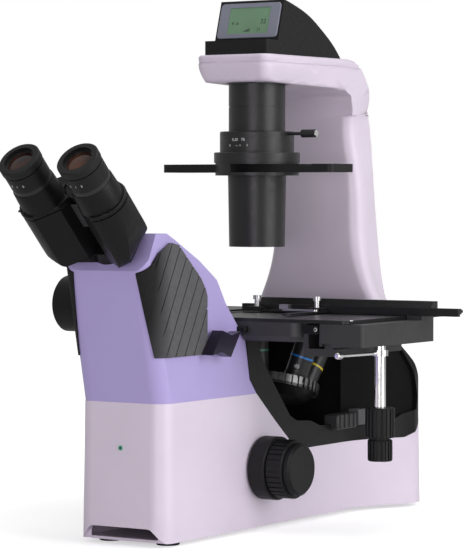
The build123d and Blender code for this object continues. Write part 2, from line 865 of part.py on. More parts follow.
# Condenser, all turned about the optical axis
axis = Plane.XY
ring_low_z = sleeve_top_z - iris_ring_height
tube_low_z = ring_low_z - tube_seat_depth
flange_low_z = condenser_top_z - condenser_flange_thickness
with BuildPart() as condenser_tube:
    add(spun(axis, [
        (condenser_tube_bore, tube_low_z),
        (condenser_tube_radius, tube_low_z),
        (condenser_tube_radius, condenser_groove_z - condenser_groove),
        (condenser_tube_radius - condenser_groove, condenser_groove_z - condenser_groove),
        (condenser_tube_radius - condenser_groove, condenser_groove_z),
        (condenser_tube_radius, condenser_groove_z),
        (condenser_tube_radius, flange_low_z),
        (condenser_flange_radius - condenser_flange_thickness / 2, flange_low_z),
        (condenser_flange_radius, condenser_top_z),
        (condenser_spigot_radius, condenser_top_z),
        (condenser_spigot_radius, spigot_top_z),
        (condenser_tube_bore, spigot_top_z),
    ]))
keep(condenser_tube, "condenser_tube")

# Iris ring with its lever, turning on the tube
with BuildPart() as iris_lever:
    add(rod(axis, sleeve_radius, ring_low_z + slip, sleeve_top_z, condenser_tube_radius + slip))
    chamfer(iris_lever.edges().filter_by(GeomType.CIRCLE).group_by(Axis.Z)[-1].sort_by(SortBy.RADIUS)[-1], iris_ring_height / 6)
    lever_place = Plane((0, 0, lever_z), x_dir=(0, 1, 0), z_dir=(1, 0, 0))
    add(rod(lever_place, lever_radius, sleeve_radius - iris_ring_height / 2, lever_knob_start + overrun))
    add(rod(lever_place, lever_knob_radius, lever_knob_start, lever_knob_end))
    lever_ends = iris_lever.faces().filter_by(Axis.X).group_by(Axis.X)[-1]
    chamfer(lever_ends.edges(), lever_knob_radius / 5)
keep(iris_lever, "iris_lever")

# Sleeve, clamp ring and slider holder in one turned piece
slot_low_z = slider_z - slider_thickness / 2
slot_high_z = slider_z + slider_thickness / 2
with BuildPart() as slider_holder:
    add(spun(axis, [
        (sleeve_bore, holder_bottom_z),
        (holder_radius, holder_bottom_z),
        (holder_radius, clamp_ring_bottom_z),
        (clamp_ring_radius, clamp_ring_bottom_z),
        (clamp_ring_radius, sleeve_bottom_z - condenser_groove),
        (clamp_ring_radius - condenser_groove, sleeve_bottom_z),
        (sleeve_radius, sleeve_bottom_z),
        (sleeve_radius, ring_low_z),
        (condenser_tube_radius + slip, ring_low_z),
        (condenser_tube_radius + slip, tube_low_z),
        (sleeve_bore, tube_low_z),
    ]))
    add(brick(-stand_half, stand_half, -slider_width / 2 - slip, slider_width / 2 + slip, slot_low_z - slip, slot_high_z + slip), mode=Mode.SUBTRACT)
    add(brick(front_wall_end_x, stand_half, -stand_half, -slider_width / 4, slot_low_z - slip, slot_high_z + slip), mode=Mode.SUBTRACT)
keep(slider_holder, "slider_holder")

# Phase slider with three apertures
with BuildPart() as phase_slider:
    with BuildSketch(level(slot_low_z)):
        RectangleRounded(2 * slider_half_length, slider_width, slider_end_radius)
        with GridLocations(slider_aperture_pitch, slider_aperture_pitch, 3, 1):
            Circle(slider_aperture_radius, mode=Mode.SUBTRACT)
    extrude(amount=slider_thickness)
    add(brick(slider_notch_start, slider_notch_end, -slider_width, slider_width, slot_high_z - slider_notch_depth, slot_high_z + overrun), mode=Mode.SUBTRACT)
keep(phase_slider, "phase_slider")

# Lower barrel and its lens
lens_seat_z = barrel_bottom_z + lens_lip_height
with BuildPart() as lower_barrel:
    add(spun(axis, [
        (lens_radius_condenser + slip, holder_bottom_z),
        (barrel_radius, holder_bottom_z),
        (barrel_tip_radius, barrel_bottom_z),
        (lens_radius_condenser - lens_lip, barrel_bottom_z),
        (lens_radius_condenser - lens_lip, lens_seat_z),
        (lens_radius_condenser + slip, lens_seat_z),
    ]))
keep(lower_barrel, "lower_barrel")
with BuildPart() as condenser_lens:
    add(rod(axis, lens_radius_condenser, lens_seat_z, lens_seat_z + lens_thickness))
keep(condenser_lens, "condenser_lens")

# Stage: an open tray frame, a top plate with an overhang, and the insert
with BuildPart() as stage_body:
    with BuildSketch(level(stage_bottom_z)):
        RectangleRounded(2 * stage_half_x, 2 * stage_half_y, stage_corner)
    extrude(amount=stage_body_top_z - stage_bottom_z)
    chamfer(stage_body.edges().group_by(Axis.Z)[0], stage_chamfer)
    with BuildSketch(level(stage_bottom_z)):
        RectangleRounded(2 * (stage_half_x - stage_wall), 2 * (stage_half_y - stage_wall), stage_corner - stage_wall)
    extrude(amount=stage_body_top_z - stage_bottom_z, mode=Mode.SUBTRACT)
    post_x = base_half_front - frame_inset - frame_wall / 2
    post_rear_y = window[0][0]
    for x in (-post_x, post_x):
        add(brick(x - stage_pad_half, x + stage_pad_half, -stage_half_y + stage_wall, post_rear_y, frame_top_z, stage_body_top_z))
    add(brick(-housing_half - overrun, housing_half + overrun, -stage_half_y - overrun, frame_front_y + gap, stage_bottom_z - overrun, stage_bottom_z + stage_front_relief), mode=Mode.SUBTRACT)
keep(stage_body, "stage_body")
with BuildPart() as stage_plate:
    with BuildSketch(level(stage_body_top_z)):
        with Locations(((plate_right_x - stage_half_x) / 2, 0)):
            RectangleRounded(plate_right_x + stage_half_x, 2 * stage_half_y, stage_corner / 2)
        Circle(insert_radius - insert_ledge, mode=Mode.SUBTRACT)
    extrude(amount=stage_top_z - stage_body_top_z)
    add(rod(axis, insert_radius + slip, stage_top_z - insert_thickness, stage_top_z + overrun), mode=Mode.SUBTRACT)
keep(stage_plate, "stage_plate")
with BuildPart() as stage_insert:
    add(rod(axis, insert_radius, stage_top_z - insert_thickness, stage_top_z, insert_bore_radius))
keep(stage_insert, "stage_insert")

# Right-hand bracket with the guide rail for the Y carriage
shelf_top_z = shelf_bottom_z + shelf_thickness
bracket_rear_y = bracket_front_y + bracket_length
with BuildPart() as stage_bracket:
    add(brick(stage_half_x, stage_half_x + bracket_wall, bracket_front_y, bracket_rear_y, shelf_bottom_z, stage_body_top_z))
    add(brick(stage_half_x, shelf_right_x, bracket_front_y, bracket_rear_y, shelf_bottom_z, shelf_top_z))
    add(brick(guide_x - guide_width / 2, guide_x + guide_width / 2, bracket_front_y, bracket_rear_y, shelf_top_z, shelf_top_z + guide_height))
keep(stage_bracket, "stage_bracket")
carriage_front_y = -stage_half_y
carriage_rear_y = carriage_front_y + carriage_length
carriage_top_z = stage_body_top_z - gap
x_guide_bottom_z = stage_top_z + gap
drop = Plane((drop_x, drop_y, 0))
with BuildPart() as y_carriage:
    add(brick(carriage_left_x, carriage_right_x, carriage_front_y, carriage_rear_y, carriage_bottom_z, carriage_top_z))
    fillet(y_carriage.edges().filter_by(Axis.Z), carriage_edge)
    add(brick(plate_right_x + riser_gap, carriage_right_x, riser_front_y, carriage_rear_y, carriage_bottom_z, x_guide_bottom_z))
    add(brick(guide_x - guide_width / 2 - slip, guide_x + guide_width / 2 + slip, -stand_half, stand_half, carriage_bottom_z - overrun, shelf_top_z + guide_height + slip), mode=Mode.SUBTRACT)
    add(rod(drop, drop_tube_radius + slip, carriage_bottom_z - overrun, carriage_bottom_z + tube_engagement + gap), mode=Mode.SUBTRACT)
keep(y_carriage, "y_carriage")

# X guide over the stage and the bar that slides along it
tongue_z = (x_slide_bottom_z + x_slide_top_z) / 2
x_guide_rear_y = x_guide_front_y + x_guide_depth
with BuildPart() as x_guide:
    with BuildSketch(Plane.YZ.offset(x_guide_left_x)):
        add(filled([
            (x_guide_front_y, x_guide_bottom_z),
            (x_guide_rear_y, x_guide_bottom_z),
            (x_guide_rear_y, x_guide_top_z),
            (x_guide_front_y + x_guide_depth / 3, x_guide_top_z),
            (x_guide_front_y, x_guide_face_z),
        ]))
        with Locations((x_guide_front_y, tongue_z)):
            Rectangle(2 * (tongue_depth + slip), tongue_height + 2 * slip, mode=Mode.SUBTRACT)
    extrude(amount=x_guide_right_x - x_guide_left_x)
keep(x_guide, "x_guide")
slide_rear_y = x_guide_front_y - slip
slide_front_y = slide_rear_y - x_slide_depth
rack_bottom_z = x_slide_bottom_z - rack_height
with BuildPart() as x_slide:
    add(brick(x_slide_left_x, x_slide_right_x, slide_front_y, slide_rear_y, x_slide_bottom_z, x_slide_top_z))
    add(brick(x_slide_left_x, x_slide_right_x, slide_rear_y, slide_rear_y + tongue_depth, tongue_z - tongue_height / 2, tongue_z + tongue_height / 2))
    add(brick(x_slide_left_x, x_slide_right_x, slide_front_y, slide_front_y + rack_depth, rack_bottom_z, x_slide_bottom_z))
    for x in (post_left_x, post_right_x):
        add(brick(x - lug_half, x + lug_half, slide_front_y - holder_depth, slide_front_y, x_slide_bottom_z, x_slide_bottom_z + lug_height))
    with Locations((post_left_x, post_y, x_slide_top_z), (post_right_x, post_y, x_slide_top_z)):
        Cylinder(post_radius + slip, stage_half_y, mode=Mode.SUBTRACT)
keep(x_slide, "x_slide")
holder_bottom = x_slide_bottom_z - holder_thickness
holder_inner_y = slide_front_y - holder_depth
finger_pivot = Plane((holder_right_x - holder_arm / 2, finger_pivot_y, 0))
with BuildPart() as specimen_holder:
    with BuildSketch(level(holder_bottom)) as holder_plan:
        add(filled([
            (holder_left_x, slide_front_y),
            (holder_right_x, slide_front_y),
            (holder_right_x, holder_inner_y - holder_reach),
            (holder_right_x - holder_arm, holder_inner_y - holder_reach),
            (holder_right_x - holder_arm, holder_inner_y),
            (holder_left_x + holder_arm, holder_inner_y),
            (holder_left_x + holder_arm, holder_inner_y - holder_reach),
            (holder_left_x, holder_inner_y - holder_reach),
        ]))
        fillet(holder_plan.vertices().group_by(Axis.Y)[0], holder_arm / 3)
        with Locations((post_left_x, post_y), (post_right_x, post_y)):
            Circle(post_radius + slip, mode=Mode.SUBTRACT)
    extrude(amount=holder_thickness)
    add(rod(finger_pivot, finger_pin_radius, x_slide_bottom_z, x_slide_bottom_z + finger_thickness + gap))
keep(specimen_holder, "specimen_holder")
with BuildPart() as holder_screws:
    for x in (post_left_x, post_right_x):
        place = Plane((x, post_y, 0))
        add(rod(place, post_radius, holder_bottom, x_slide_top_z + post_height / 3))
        add(rod(place, post_head_radius, x_slide_top_z + post_height / 3, x_slide_top_z + post_height / 3 + post_head_height))
keep(holder_screws, "holder_screws")
finger_low_z = x_slide_bottom_z + slip
with BuildPart() as slide_finger:
    with BuildSketch(finger_pivot.offset(finger_low_z)):
        with Locations((-finger_length / 2, 0)):
            SlotCenterToCenter(finger_length, finger_width)
        Circle(finger_pin_radius + slip, mode=Mode.SUBTRACT)
    extrude(amount=finger_thickness)
    with BuildSketch(finger_pivot.offset(finger_low_z + finger_thickness)):
        with Locations((-finger_length, 0)):
            Rectangle(thumb_width, finger_width)
    extrude(amount=thumb_height)
keep(slide_finger, "slide_finger")

# Drop handle: outer tube and knob for Y, inner shaft and knob for X, clamp lever above
with BuildPart() as y_tube:
    add(rod(drop, drop_tube_radius, y_knob_top_z - knob_socket, carriage_bottom_z + tube_engagement, drop_tube_bore))
keep(y_tube, "y_tube")
with BuildPart() as y_knob:
    add(rod(drop, y_knob_radius, y_knob_bottom_z, y_knob_top_z, drop_tube_bore))
    chamfer(y_knob.edges().filter_by(GeomType.CIRCLE).group_by(SortBy.RADIUS)[-1], knob_edge)
    add(rod(drop, drop_tube_radius + slip, y_knob_top_z - knob_socket, y_knob_top_z + overrun), mode=Mode.SUBTRACT)
    add(ribbed(drop, y_knob_radius, y_knob_bottom_z - overrun, y_knob_top_z + overrun, drop_rib_count, rib_depth, rib_width), mode=Mode.SUBTRACT)
keep(y_knob, "y_knob")
neck_top_z = x_knob_top_z + knob_neck_height - slip
with BuildPart() as x_knob:
    add(rod(drop, x_knob_radius, x_knob_bottom_z, x_knob_top_z))
    chamfer(x_knob.edges().filter_by(GeomType.CIRCLE), knob_edge)
    add(ribbed(drop, x_knob_radius, x_knob_bottom_z - overrun, x_knob_top_z + overrun, drop_rib_count, rib_depth, rib_width), mode=Mode.SUBTRACT)
    add(rod(drop, knob_neck_radius, x_knob_top_z, neck_top_z))
    add(rod(drop, drop_shaft_radius, neck_top_z, carriage_bottom_z + tube_engagement))
keep(x_knob, "x_knob")
clamp_turned = radians(clamp_turn)
clamp_place = Plane((drop_x, drop_y, clamp_z), x_dir=(0, 0, 1), z_dir=(cos(clamp_turned), sin(clamp_turned), 0))
with BuildPart() as clamp_lever:
    add(rod(drop, drop_collar_radius, drop_collar_top_z - drop_collar_height, drop_collar_top_z))
    add(rod(clamp_place, clamp_rod_radius, drop_collar_radius - overrun, clamp_length))
    add(rod(clamp_place, clamp_ball_radius, clamp_length - clamp_ball_radius, clamp_length + clamp_ball_radius))
    fillet(clamp_lever.edges().filter_by(GeomType.CIRCLE).sort_by(Axis.Y)[0], clamp_ball_radius / 2)
    add(rod(drop, drop_tube_radius + slip, clamp_z - drop_collar_height, clamp_z + drop_collar_height), mode=Mode.SUBTRACT)
keep(clamp_lever, "clamp_lever")

# Focus drive: hollow coarse shaft with the fine shaft inside it
coarse_inner_x = ring_outer_x + gap
fine_inner_x = coarse_outer_x + gap
pinion_radius = gear_module * pinion_teeth / 2
coarse_shaft_end_x = coarse_outer_x - base_wall
fine_shaft_end_x = fine_outer_x - base_wall
with BuildPart() as tension_ring:
    add(rod(focus_right, ring_radius, ring_inner_x, ring_outer_x, coarse_shaft_radius + slip))
    chamfer(tension_ring.edges().filter_by(GeomType.CIRCLE).group_by(SortBy.RADIUS)[-1], knob_edge)
keep(tension_ring, "tension_ring")
coarse_ribs_end_x = coarse_outer_x - knob_edge
with BuildPart() as coarse_knob_right:
    add(rod(focus_right, coarse_radius, coarse_inner_x, coarse_outer_x))
    chamfer(coarse_knob_right.edges().filter_by(GeomType.CIRCLE), knob_edge)
    add(ribbed(focus_right, coarse_radius, coarse_inner_x - overrun, coarse_ribs_end_x, rib_count_coarse, rib_depth, rib_width), mode=Mode.SUBTRACT)
    add(rod(focus_right, coarse_shaft_radius, -coarse_shaft_end_x, coarse_inner_x))
    add(rod(focus_right, pinion_radius, -pinion_half, pinion_half))
    add(rod(focus_right, coarse_bore_radius, -stand_half, stand_half), mode=Mode.SUBTRACT)
keep(coarse_knob_right, "coarse_knob_right")
with BuildPart() as coarse_knob_left:
    add(rod(focus_left, coarse_radius, coarse_inner_x, coarse_outer_x))
    chamfer(coarse_knob_left.edges().filter_by(GeomType.CIRCLE), knob_edge)
    add(ribbed(focus_left, coarse_radius, coarse_inner_x - overrun, coarse_ribs_end_x, rib_count_coarse, rib_depth, rib_width), mode=Mode.SUBTRACT)
    add(rod(focus_left, coarse_shaft_radius + slip, 0, coarse_shaft_end_x + slip), mode=Mode.SUBTRACT)
    add(rod(focus_left, coarse_bore_radius, 0, stand_half), mode=Mode.SUBTRACT)
keep(coarse_knob_left, "coarse_knob_left")
fine_edge = fine_radius - fine_face_radius
with BuildPart() as fine_knob_right:
    add(rod(focus_right, fine_radius, fine_inner_x, fine_outer_x))
    chamfer(fine_knob_right.edges().filter_by(GeomType.CIRCLE).sort_by(Axis.X)[-1], fine_edge)
    add(rod(focus_right, fine_shaft_radius, -fine_shaft_end_x, fine_inner_x))
keep(fine_knob_right, "fine_knob_right")
with BuildPart() as fine_knob_left:
    add(rod(focus_left, fine_radius, fine_inner_x, fine_outer_x))
    chamfer(fine_knob_left.edges().filter_by(GeomType.CIRCLE).sort_by(Axis.X)[0], fine_edge)
    add(rod(focus_left, fine_shaft_radius + slip, 0, fine_shaft_end_x + slip), mode=Mode.SUBTRACT)
keep(fine_knob_left, "fine_knob_left")

# Nosepiece: the turret axis leans back so that the objective in use stands upright
tilt = radians(nose_tilt)
turret_place = Plane((0, nose_y, nose_z), x_dir=(1, 0, 0), z_dir=(0, sin(tilt), cos(tilt)))
apex_depth = nose_y / sin(tilt)
apex_z = nose_z - nose_y / tan(tilt)
shoulder_distance = stage_top_z - apex_z - parfocal_length
ring_bottom = -turret_half_height
mount_top = ring_bottom - running_gap
with BuildPart() as nosepiece_carrier:
    add(spun(turret_place, [
        (0, mount_top - mount_height),
        (mount_low_radius, mount_top - mount_height),
        (mount_radius, mount_top),
        (0, mount_top),
    ]))
    add(rod(axis, carrier_tube_radius, carrier_tube_bottom_z, nose_z))
    add(rod(turret_place, stand_half, mount_top, stand_half), mode=Mode.SUBTRACT)
    rack_front_y = focus_y + pinion_radius + slip
    rack_arm_top_z = carrier_tube_bottom_z + rack_arm_height
    add(brick(-rack_arm_half, rack_arm_half, rack_front_y + rack_bar_depth, 0, carrier_tube_bottom_z, rack_arm_top_z))
    add(brick(-rack_bar_half, rack_bar_half, rack_front_y, rack_front_y + rack_bar_depth, carrier_tube_bottom_z, rack_bar_top_z))
    add(rod(axis, carrier_tube_bore, 0, stand_half), mode=Mode.SUBTRACT)
    add(rod(turret_place, pivot_radius, mount_top - mount_height, turret_half_height + running_gap))
    add(rod(turret_place, pivot_head_radius, turret_half_height + running_gap, turret_half_height + running_gap + pivot_head_height))
keep(nosepiece_carrier, "nosepiece_carrier")


def objective_place(index):
    """Plane on the axis of one place of the turret, with its origin at the shoulder."""
    turn = radians(index * 360 / turret_places)
    direction = turret_place.x_dir * sin(tilt) * sin(turn)
    direction -= turret_place.y_dir * sin(tilt) * cos(turn)
    direction += turret_place.z_dir * cos(tilt)
    start = Vector(0, 0, apex_z) + direction * shoulder_distance
    return Plane(start, x_dir=direction.cross(turret_place.z_dir), z_dir=direction)


with BuildPart() as turret:
    add(rod(turret_place, turret_radius, ring_bottom, turret_half_height, pivot_radius + slip))
    with BuildSketch(turret_place.offset(ring_bottom - overrun)):
        with PolarLocations(turret_radius, turret_rib_count):
            Rectangle(2 * turret_rib_depth, turret_rib_width)
    extrude(amount=2 * turret_half_height + 2 * overrun, mode=Mode.SUBTRACT)
    for index in range(turret_places):
        place = objective_place(index)
        add(rod(place, thread_radius + slip, -turret_radius, turret_radius), mode=Mode.SUBTRACT)
        add(rod(place, spot_face_radius, 0, turret_radius), mode=Mode.SUBTRACT)
keep(turret, "turret")

# Objectives (name, place in the turret, working distance, tip radius)
objectives = [
    ("objective_20x", 0, working_distance_20x, tip_radius_20x),
    ("objective_40x", 1, working_distance_40x, tip_radius_40x),
    ("objective_10x", 2, working_distance_10x, tip_radius_10x),
    ("objective_4x", 4, working_distance_4x, tip_radius_4x),
]
for name, index, working_distance, tip_radius in objectives:
    tip = parfocal_length - working_distance
    cone_start = tip - nose_cone
    with BuildPart() as objective:
        add(spun(objective_place(index), [
            (0, -thread_length),
            (thread_radius, -thread_length),
            (thread_radius, 0),
            (shoulder_radius, 0),
            (shoulder_radius, objective_collar),
            (body_radius, objective_collar + band_groove),
            (body_radius, cone_start),
            (tip_radius + band_groove, tip - band_groove),
            (tip_radius, tip),
            (0, tip),
        ]))
    keep(objective, name)

# Folding mirror under the nosepiece, on the bottom plate
plate_top_z = foot_height + bottom_plate_thickness
with BuildPart() as folding_mirror:
    add(side_slab([
        (mirror_half, plate_top_z),
        (-mirror_half, plate_top_z),
        (-mirror_half, plate_top_z + bottom_plate_thickness),
        (mirror_half, mirror_top_z),
    ], -mirror_half, mirror_half))
keep(folding_mirror, "folding_mirror")

# Head: both prism housings hinge on one axis, square to the slope of the tubes
lean = radians(head_tilt)
eye_drop = cup_high
hinge_offset = sqrt(hinge_radius**2 - (eye_spread / 2) ** 2)
eye_middle = Vector(0, eye_y, eye_z)
tube_up = Vector(0, -cos(lean), sin(lean))
tube_across = Vector(0, sin(lean), cos(lean))
hinge_origin = eye_middle - tube_up * eye_drop + tube_across * hinge_offset
hinge = Plane(hinge_origin, x_dir=(1, 0, 0), z_dir=tube_up)
mount_slope = Plane(
    (0, front_top_y, front_top_z),
    x_dir=(1, 0, 0),
    z_dir=Vector(0, front_top_z - ridge_z, housing_top[0][0] - front_top_y),
)
with BuildPart() as head_base:
    with BuildSketch(hinge.offset(-stand_half)):
        with Locations((0, -head_base_shift)):
            Circle(head_base_radius)
    extrude(amount=stand_half + prism_bottom - slip)
    add(rod(hinge, hub_radius, -stand_half, prism_top + hub_cap_height))
    split(bisect_by=mount_slope, keep=Keep.TOP)
keep(head_base, "head_base")
rest_angle = -degrees(atan2(hinge_offset, eye_spread / 2))


def tube_place(side):
    """Plane on the axis of one eye tube."""
    return Plane(hinge.from_local_coords((side * eye_spread / 2, -hinge_offset, 0)), x_dir=(1, 0, 0), z_dir=tube_up)


def prism_plan(side):
    """Outline of one prism housing seen along the tubes: a rounded arm from the hub to the tube."""
    with BuildSketch() as plan:
        with Locations(Location((0, 0), rest_angle)):
            with Locations((hinge_radius, 0)):
                Circle(prism_round)
            with Locations((hinge_radius / 2, (prism_inner - prism_face) / 2)):
                Rectangle(hinge_radius, prism_inner + prism_face)
            with Locations((hinge_radius, -prism_face - hinge_radius / 2)):
                Rectangle(4 * hinge_radius, hinge_radius, mode=Mode.SUBTRACT)
        Circle(hub_radius + hub_gap, mode=Mode.SUBTRACT)
        if side < 0:
            mirror(about=Plane.YZ, mode=Mode.REPLACE)
    return plan.sketch


with BuildPart() as boat:
    with BuildSketch(hinge * Plane.XZ.offset(-stand_half)):
        with BuildLine():
            keel = Line((0, prism_bottom), (prism_boat_flat_x, prism_bottom))
            bilge = TangentArc(keel @ 1, (prism_boat_x, prism_bottom + prism_boat_rise), tangent=keel % 1)
            Polyline(bilge @ 1, (prism_boat_x + prism_flare, prism_top), (prism_boat_x + prism_flare, 2 * prism_top), (0, 2 * prism_top))
            mirror(about=Plane.YZ)
        make_face()
    extrude(amount=2 * stand_half)
for side, word in ((1, "right"), (-1, "left")):
    tube = tube_place(side)
    with BuildPart() as prism:
        with BuildSketch(hinge.offset(prism_bottom)):
            add(prism_plan(side))
        extrude(amount=prism_top - prism_bottom)
        add(boat.part, mode=Mode.INTERSECT)
        add(rod(tube, plate_radius - plate_step, prism_top, prism_top + plate_gap))
        add(rod(tube, plate_radius, prism_top + plate_gap, eye_tube_foot))
        add(rod(hinge, hub_radius + hub_gap, prism_bottom, stand_half), mode=Mode.SUBTRACT)
        add(rod(tube, eye_tube_radius, eye_tube_foot, eye_tube_top))
        add(rod(tube, eyepiece_barrel_radius + slip, eye_tube_top - eyepiece_foot, stand_half), mode=Mode.SUBTRACT)
    keep(prism, f"prism_housing_{word}")
    with BuildPart() as eyepiece:
        add(spun(tube, [
            (0, eye_tube_top - eyepiece_foot),
            (eyepiece_barrel_radius, eye_tube_top - eyepiece_foot),
            (eyepiece_barrel_radius, eye_tube_top),
            (eyepiece_sleeve_radius, eye_tube_top),
            (eyepiece_sleeve_radius, dioptre_low - slip),
            (eyepiece_body_radius, dioptre_low - slip),
            (eyepiece_body_radius, cup_high - lens_sink),
            (lens_radius, cup_high - lens_sink),
            (lens_radius, cup_high - 2 * lens_sink),
            (0, cup_high - 2 * lens_sink),
        ]))
    keep(eyepiece, f"eyepiece_{word}")
    with BuildPart() as dioptre_ring:
        add(rod(tube, dioptre_radius, dioptre_low, dioptre_high, eyepiece_body_radius + slip))
    keep(dioptre_ring, f"dioptre_ring_{word}")
    with BuildPart() as eyecup:
        add(spun(tube, [
            (eyepiece_body_radius + slip, cup_low),
            (cup_radius - cup_rim, cup_low),
            (cup_radius, cup_low + cup_rim),
            (cup_radius, cup_high - cup_rim),
            (cup_radius - cup_rim, cup_high),
            (cup_mouth_radius, cup_high),
            (cup_mouth_radius, cup_high - lens_sink + slip),
            (eyepiece_body_radius + slip, cup_high - lens_sink + slip),
        ]))
    keep(eyecup, f"eyecup_{word}")

# Power lamp, brightness dial, inlet and switch
with BuildPart() as power_led:
    led = Plane((0, 0, led_z), x_dir=(1, 0, 0), z_dir=(0, -1, 0))
    add(rod(led, led_radius, -base_front_y - base_wall, -base_front_y - base_draft_inset / 2))
keep(power_led, "power_led")
with BuildPart() as brightness_dial:
    dial_inner_x = base_half_front + gap
    add(rod(dial_plane, dial_radius, dial_inner_x, dial_inner_x + dial_length))
    chamfer(brightness_dial.edges().filter_by(GeomType.CIRCLE), knob_edge)
    add(ribbed(dial_plane, dial_radius, dial_inner_x - overrun, dial_inner_x + dial_length + overrun, drop_rib_count, rib_depth, rib_width), mode=Mode.SUBTRACT)
    add(rod(dial_plane, dial_shaft_radius, boss_inner_x - base_wall, dial_inner_x))
keep(brightness_dial, "brightness_dial")
with BuildPart() as power_inlet:
    add(brick(socket_x - socket_width / 2 + slip, socket_x + socket_width / 2 - slip, base_rear_y - inlet_depth, base_rear_y, socket_z - socket_height / 2 + slip, socket_z + socket_height / 2 - slip))
    add(brick(socket_x - socket_width / 2 - inlet_rim, socket_x + socket_width / 2 + inlet_rim, base_rear_y, base_rear_y + inlet_rim, socket_z - socket_height / 2 - inlet_rim, socket_z + socket_height / 2 + inlet_rim))
    add(brick(socket_x - inlet_mouth_half_x, socket_x + inlet_mouth_half_x, base_rear_y - inlet_depth + inlet_rim, stand_half * 2, socket_z - inlet_mouth_half_z, socket_z + inlet_mouth_half_z), mode=Mode.SUBTRACT)
keep(power_inlet, "power_inlet")
with BuildPart() as power_switch:
    switch_half_x = switch_width / 2 - gap
    switch_half_z = switch_height / 2 - overrun
    add(brick(switch_x - switch_half_x, switch_x + switch_half_x, base_rear_y - base_wall - overrun, base_rear_y + overrun, switch_z - switch_half_z, switch_z + switch_half_z))
    switch_pin = Plane((switch_x, base_rear_y - base_wall / 2, switch_z), x_dir=(0, 1, 0), z_dir=(1, 0, 0))
    add(rod(switch_pin, led_radius, -switch_width / 2 + slip, switch_width / 2 - slip))
keep(power_switch, "power_switch")
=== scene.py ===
from math import asin, cos, pi, radians, sin, sqrt

import bmesh
import bpy
from mathutils import Matrix, Vector


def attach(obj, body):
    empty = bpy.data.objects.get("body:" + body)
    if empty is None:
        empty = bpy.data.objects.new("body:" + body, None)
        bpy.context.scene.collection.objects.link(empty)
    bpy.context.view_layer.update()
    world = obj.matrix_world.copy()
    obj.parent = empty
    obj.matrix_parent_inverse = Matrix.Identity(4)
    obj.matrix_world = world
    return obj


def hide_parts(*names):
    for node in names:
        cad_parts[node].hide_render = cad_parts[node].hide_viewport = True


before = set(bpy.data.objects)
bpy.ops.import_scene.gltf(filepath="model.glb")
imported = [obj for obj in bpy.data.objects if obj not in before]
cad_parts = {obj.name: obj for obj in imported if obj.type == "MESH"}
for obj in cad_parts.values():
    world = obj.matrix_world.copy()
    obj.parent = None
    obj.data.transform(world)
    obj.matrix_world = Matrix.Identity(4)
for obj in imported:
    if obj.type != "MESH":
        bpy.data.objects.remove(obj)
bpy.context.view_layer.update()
mm = 0.001

# ---------------------------------------------------------------- shader expressions


class Shade:
    """A shader socket that can be used in arithmetic."""

    def __init__(self, tree, socket):
        self.tree = tree
        self.socket = socket

    def node(self, kind, sockets=None, out=0, **settings):
        made = self.tree.nodes.new("ShaderNode" + kind)
        for name, value in settings.items():
            setattr(made, name, value)
        for key, value in (sockets or {}).items():
            if isinstance(value, Shade):
                self.tree.links.new(value.socket, made.inputs[key])
            else:
                made.inputs[key].default_value = value
        return Shade(self.tree, made.outputs[out])

    def math(self, operation, first, second):
        return self.node("Math", {0: first, 1: second}, operation=operation)

    def __add__(self, other):
        return self.math("ADD", self, other)

    def __mul__(self, other):
        return self.math("MULTIPLY", self, other)

    def noise(self, scale, detail=3.0, rough=0.5):
        return self.node("TexNoise", {"Vector": self, "Scale": scale, "Detail": detail, "Roughness": rough})

    def ramp(self, low, high, start=0.0, end=1.0):
        return self.node("MapRange", {0: self, 1: low, 2: high, 3: start, 4: end})

    def blend(self, first, second):
        return self.node("Mix", {0: self, 6: first, 7: second}, out=2, data_type="RGBA")

    def stretched(self, scale):
        return self.node("Mapping", {"Vector": self, "Scale": scale})

    def axis(self, name):
        return self.node("SeparateXYZ", {"Vector": self}, out="XYZ".index(name))


class Finish:
    """One material under construction: its place on the object, and its main shader."""

    def __init__(self, name):
        self.material = bpy.data.materials.new(name)
        self.material.use_nodes = True
        self.tree = self.material.node_tree
        self.shader = self.tree.nodes["Principled BSDF"]
        start = Shade(self.tree, None)
        self.place = start.node("TexCoord", out=3)

    def plain(self, **values):
        for name, value in values.items():
            self.shader.inputs[name.replace("_", " ").title().replace("Ior", "IOR")].default_value = value
        return self

    def feed(self, name, shade):
        self.tree.links.new(shade.socket, self.shader.inputs[name])
        return self

    def bump(self, height, strength, distance):
        normal = height.node("Bump", {"Height": height, "Strength": strength, "Distance": distance})
        return self.feed("Normal", normal)


def rgb(red, green, blue):
    """Colour as it reads on screen, turned into light values."""
    return tuple((value / 255) ** 2.2 for value in (red, green, blue)) + (1.0,)


def shaded(colour, share):
    return tuple(value * share for value in colour[:3]) + (1.0,)


# ---------------------------------------------------------------- finishes


def enamel(name, colour, roughness=0.38):
    """Stoved enamel on cast metal: faint orange peel and slight unevenness of gloss."""
    finish = Finish(name).plain(specular_ior_level=0.45, coat_weight=0.18, coat_roughness=0.25)
    cloud = finish.place.noise(14, 4)
    finish.feed("Base Color", cloud.ramp(0.3, 0.7).blend(shaded(colour, 0.965), shaded(colour, 1.02)))
    finish.feed("Roughness", finish.place.noise(60, 3).ramp(0.2, 0.8, roughness - 0.05, roughness + 0.06))
    peel = finish.place.noise(900, 2)
    return finish.bump(peel, 0.10, 0.0002).material


def black_enamel(name, level, roughness=0.42, grain=1500, depth=0.22, shine=0.24):
    """Fine-grained black paint on metal parts."""
    colour = (level, level, level * 1.06, 1)
    finish = Finish(name).plain(specular_ior_level=shine)
    cloud = finish.place.noise(22, 4)
    finish.feed("Base Color", cloud.ramp(0.3, 0.7).blend(shaded(colour, 0.88), shaded(colour, 1.12)))
    finish.feed("Roughness", finish.place.noise(140, 3).ramp(0.2, 0.8, roughness - 0.06, roughness + 0.08))
    return finish.bump(finish.place.noise(grain, 2), depth, 0.00025).material


